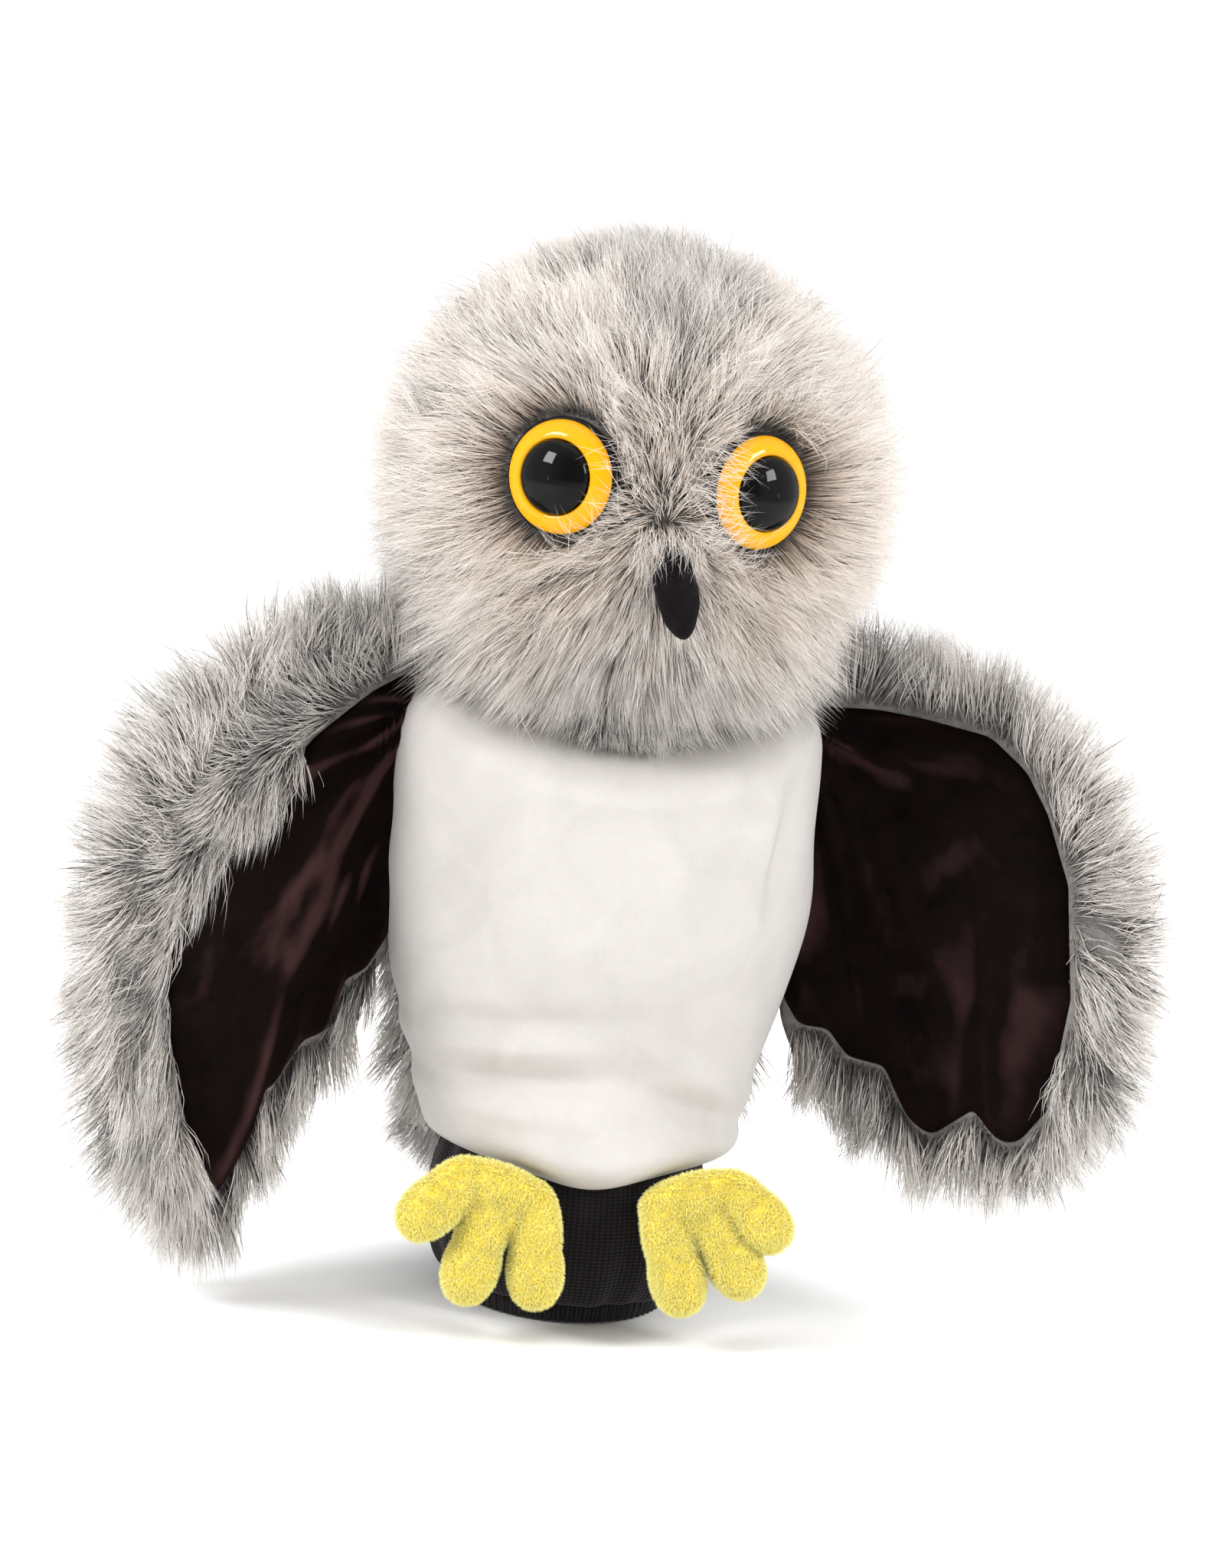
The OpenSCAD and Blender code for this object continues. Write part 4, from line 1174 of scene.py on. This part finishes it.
TOES = {     # where each toe starts and where its end is, across and up in mm
    "left": [((-32, 45), (-47, 31)), ((-26, 41), (-32.5, 14)), ((-16, 40), (-14, 13.5))],
    "right": [((16.5, 40), (24.5, 13.5)), ((26, 41), (40.5, 19)), ((32, 45), (47, 32))],
}
for label, side in (("left", -1), ("right", 1)):
    rng = np.random.default_rng(70 + side)
    blobs = [blob(np.array([side * 25.5, -44.5, 40.0]), (1, 0, 0.3 * side), 14, 6, 5.5),
             blob(np.array([side * 26.0, -45.0, 35.5]), (1, 0, 0.3 * side), 12, 7, 4.6)]
    for (x0, z0), (x1, z1) in TOES[label]:
        heel, end = np.array([x0, -44.5, z0]), np.array([x1, -47.5, z1])
        way = unit(end - heel)
        span = np.linalg.norm(end - heel)
        blobs.append(blob(end - way * 6, way, 9.5, 6.6, 6.0))
        blobs.append(blob(heel + way * span * 0.42, way, span * 0.5, 6.1, 5.4))
    for other in blobs:
        other.select_set(True)
    bpy.context.view_layer.objects.active = blobs[0]
    bpy.ops.object.join()
    foot = bpy.context.object
    foot.name = foot.data.name = f"{label}_foot_plush"
    melt = foot.modifiers.new("melt", "REMESH")
    melt.mode = "VOXEL"
    melt.voxel_size = 0.0007
    relax = foot.modifiers.new("relax", "SMOOTH")
    relax.factor, relax.iterations = 0.5, 7
    bpy.ops.object.modifier_apply(modifier="melt")
    bpy.ops.object.modifier_apply(modifier="relax")
    bpy.ops.object.shade_smooth()
    foot.data.materials.clear()
    foot.data.materials.append(yellow_backing)
    verts = np.array([p.co for p in foot.data.vertices]) / MM
    foot.data.calc_loop_triangles()
    tris = np.array([t.vertices for t in foot.data.loop_triangles])
    roots, normals = scatter(verts, tris, 26000, rng)
    count = len(roots)
    droop = np.array([0, 0, -0.6]) + rng.normal(size=(count, 3)) * 0.2
    start, end = unit(normals + droop * 0.4), unit(normals * 0.75 + droop)
    shade = np.clip(0.6 + 0.15 * wander(roots, 12, 9) + rng.normal(size=count) * 0.1, 0.02, 0.98)
    pile = grow(f"{label}_foot_pile", roots, start, end, 1.5 * rng.uniform(0.8, 1.15, count), shade,
                yellow_pile, rng, 0.2, per_tuft=4, pull=0.1)
    for piece in (foot, pile):
        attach(piece, f"{label}_foot")
    bones = np.array([p.normal for p in foot.data.vertices])
    wadding = add_mesh(f"{label}_foot_wadding", verts - bones * 1.4, [tris], fibre)
    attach(wadding, f"{label}_foot")
    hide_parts(f"{label}_foot_stuffing")
    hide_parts(f"{label}_foot_upper", f"{label}_foot_sole")
    print(foot.name, [round(d * 1000) for d in foot.dimensions], "mm,", count, "strands")

# %% [markdown]
# ## Tail and neck
# The tail is a fur flap lined with the wings' velour and sewn under the back's hem. It is bowed to the
# back it hangs from. A collar of pile closes the gap between head and shoulders, so that no backing
# shows when the head turns.

# %% Tail


def tail_grid(rows, cols, out):
    t, j = np.meshgrid(np.linspace(1, 0, rows), np.linspace(1, -1, cols), indexing="ij")
    half = 38 * (0.72 + 0.28 * np.sin(np.radians(180 * np.minimum(1, t * 1.3)))) \
        * np.sqrt(np.maximum(0.02, 1 - t ** 5))
    turn = half / 70 * j
    push = 70 + out + 1.2 * np.sin(j * 9) * t
    return np.stack([push * np.sin(turn), 41 - 70 + push * np.cos(turn), 59 - 46 * t], -1)


tail_rng = np.random.default_rng(90)
inside, outside = tail_grid(60, 80, 0.0), tail_grid(60, 80, 1.2)
tail_lining = cloth("tail_lining_velour", outside, inside, brown_velour)
back_grid = tail_grid(60, 80, 6.0)
tail_skin = cloth("tail_skin", back_grid, tail_grid(60, 80, 4.6), fur_backing)
roots, normals = scatter(back_grid.reshape(-1, 3), triangles(grid_faces(60, 80)), 8500, tail_rng)
count = len(roots)
fall = np.stack([roots[:, 0] * 0.014, 0.1 + 0 * roots[:, 0], -1 + 0 * roots[:, 0]], 1)
fall = fall + tail_rng.normal(size=(count, 3)) * 0.18
edge = ramp(13 + 12 - roots[:, 2], -8, 8)
shade = np.where(tail_rng.random(count) < 0.5, family("silver"), family("grey"))
shade[tail_rng.random(count) < 0.15] = family("charcoal")
length = 16 * tail_rng.uniform(0.7, 1.15, count) * (1 - 0.35 * edge)
tail_pile = grow("tail_pile", roots, unit(normals * 0.6 + fall * 0.7), unit(normals * 0.2 + fall), length,
                 shade + tail_rng.normal(size=count) * 0.02, fur, tail_rng, 0.34, per_tuft=14, pull=0.6)
for piece, finish in ((tail_lining, "brown_velour"), (tail_skin, "owl_fur"), (tail_pile, "owl_fur")):
    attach(piece, "tail")
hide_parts("tail_lining")
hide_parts("tail_fur")
print("tail:", count, "strands")

# %% Neck collar
neck_rng = np.random.default_rng(91)
count = 3600
turn = neck_rng.uniform(0, 2 * math.pi, count)
round_neck = np.stack([np.cos(turn), np.sin(turn), 0 * turn], 1)
climb = neck_rng.uniform(0, 1, count)
roots = round_neck * (17.5 + 9 * climb[:, None]) + np.stack([0 * turn, 0 * turn, 151 + 8 * climb], 1)
start = unit(round_neck + neck_rng.normal(size=(count, 3)) * 0.2)
end = unit(round_neck * 0.9 + np.array([0, 0, -0.35]) + neck_rng.normal(size=(count, 3)) * 0.2)
shade = np.where(neck_rng.random(count) < 0.4, family("silver"), family("grey"))
neck_pile = grow("neck_pile", roots, start, end, neck_rng.uniform(9, 14, count), shade, fur, neck_rng, 0.34)
low_ring = np.stack([np.cos(turns), np.sin(turns), 0 * turns], 1)
collar = [low_ring * r + [0, 0, z] for r, z in ((17.4, 147.5), (18.5, 152), (22, 156), (27, 159.5))]
collar = np.array(collar)
neck_skin = cloth("neck_skin", collar, collar * [0.93, 0.93, 1], fur_backing, closed=True)
for piece in (neck_pile, neck_skin):
    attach(piece, "neck")
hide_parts("neck_gusset")
print("neck:", count, "strands")

# %% [markdown]
# ## What stays inside
# Stuffing, the hand's lining, the finger pocket and the washers are hidden on the real puppet too. They
# keep the frame's own shapes, each in the finish it would have.

# %% Finishes for the inner pieces
INNER = {
    "head_stuffing": fibre, "tail_wadding": fibre, "hand_lining": lining_knit,
    "finger_pocket": lining_knit, "left_eye_washer": washer_white, "right_eye_washer": washer_white,
}
for node, finish in INNER.items():
    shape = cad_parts[node]
    shape.data.materials.clear()
    shape.data.materials.append(finish)
print("inner pieces:", len(INNER))

# %% Measure and finish
made_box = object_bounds()
sizes = {"cad": [list(corner) for corner in cad_box], "made": [list(corner) for corner in made_box]}
for name, (low, high) in sizes.items():
    print(name, [round(v * 1000, 1) for v in low], [round(v * 1000, 1) for v in high])
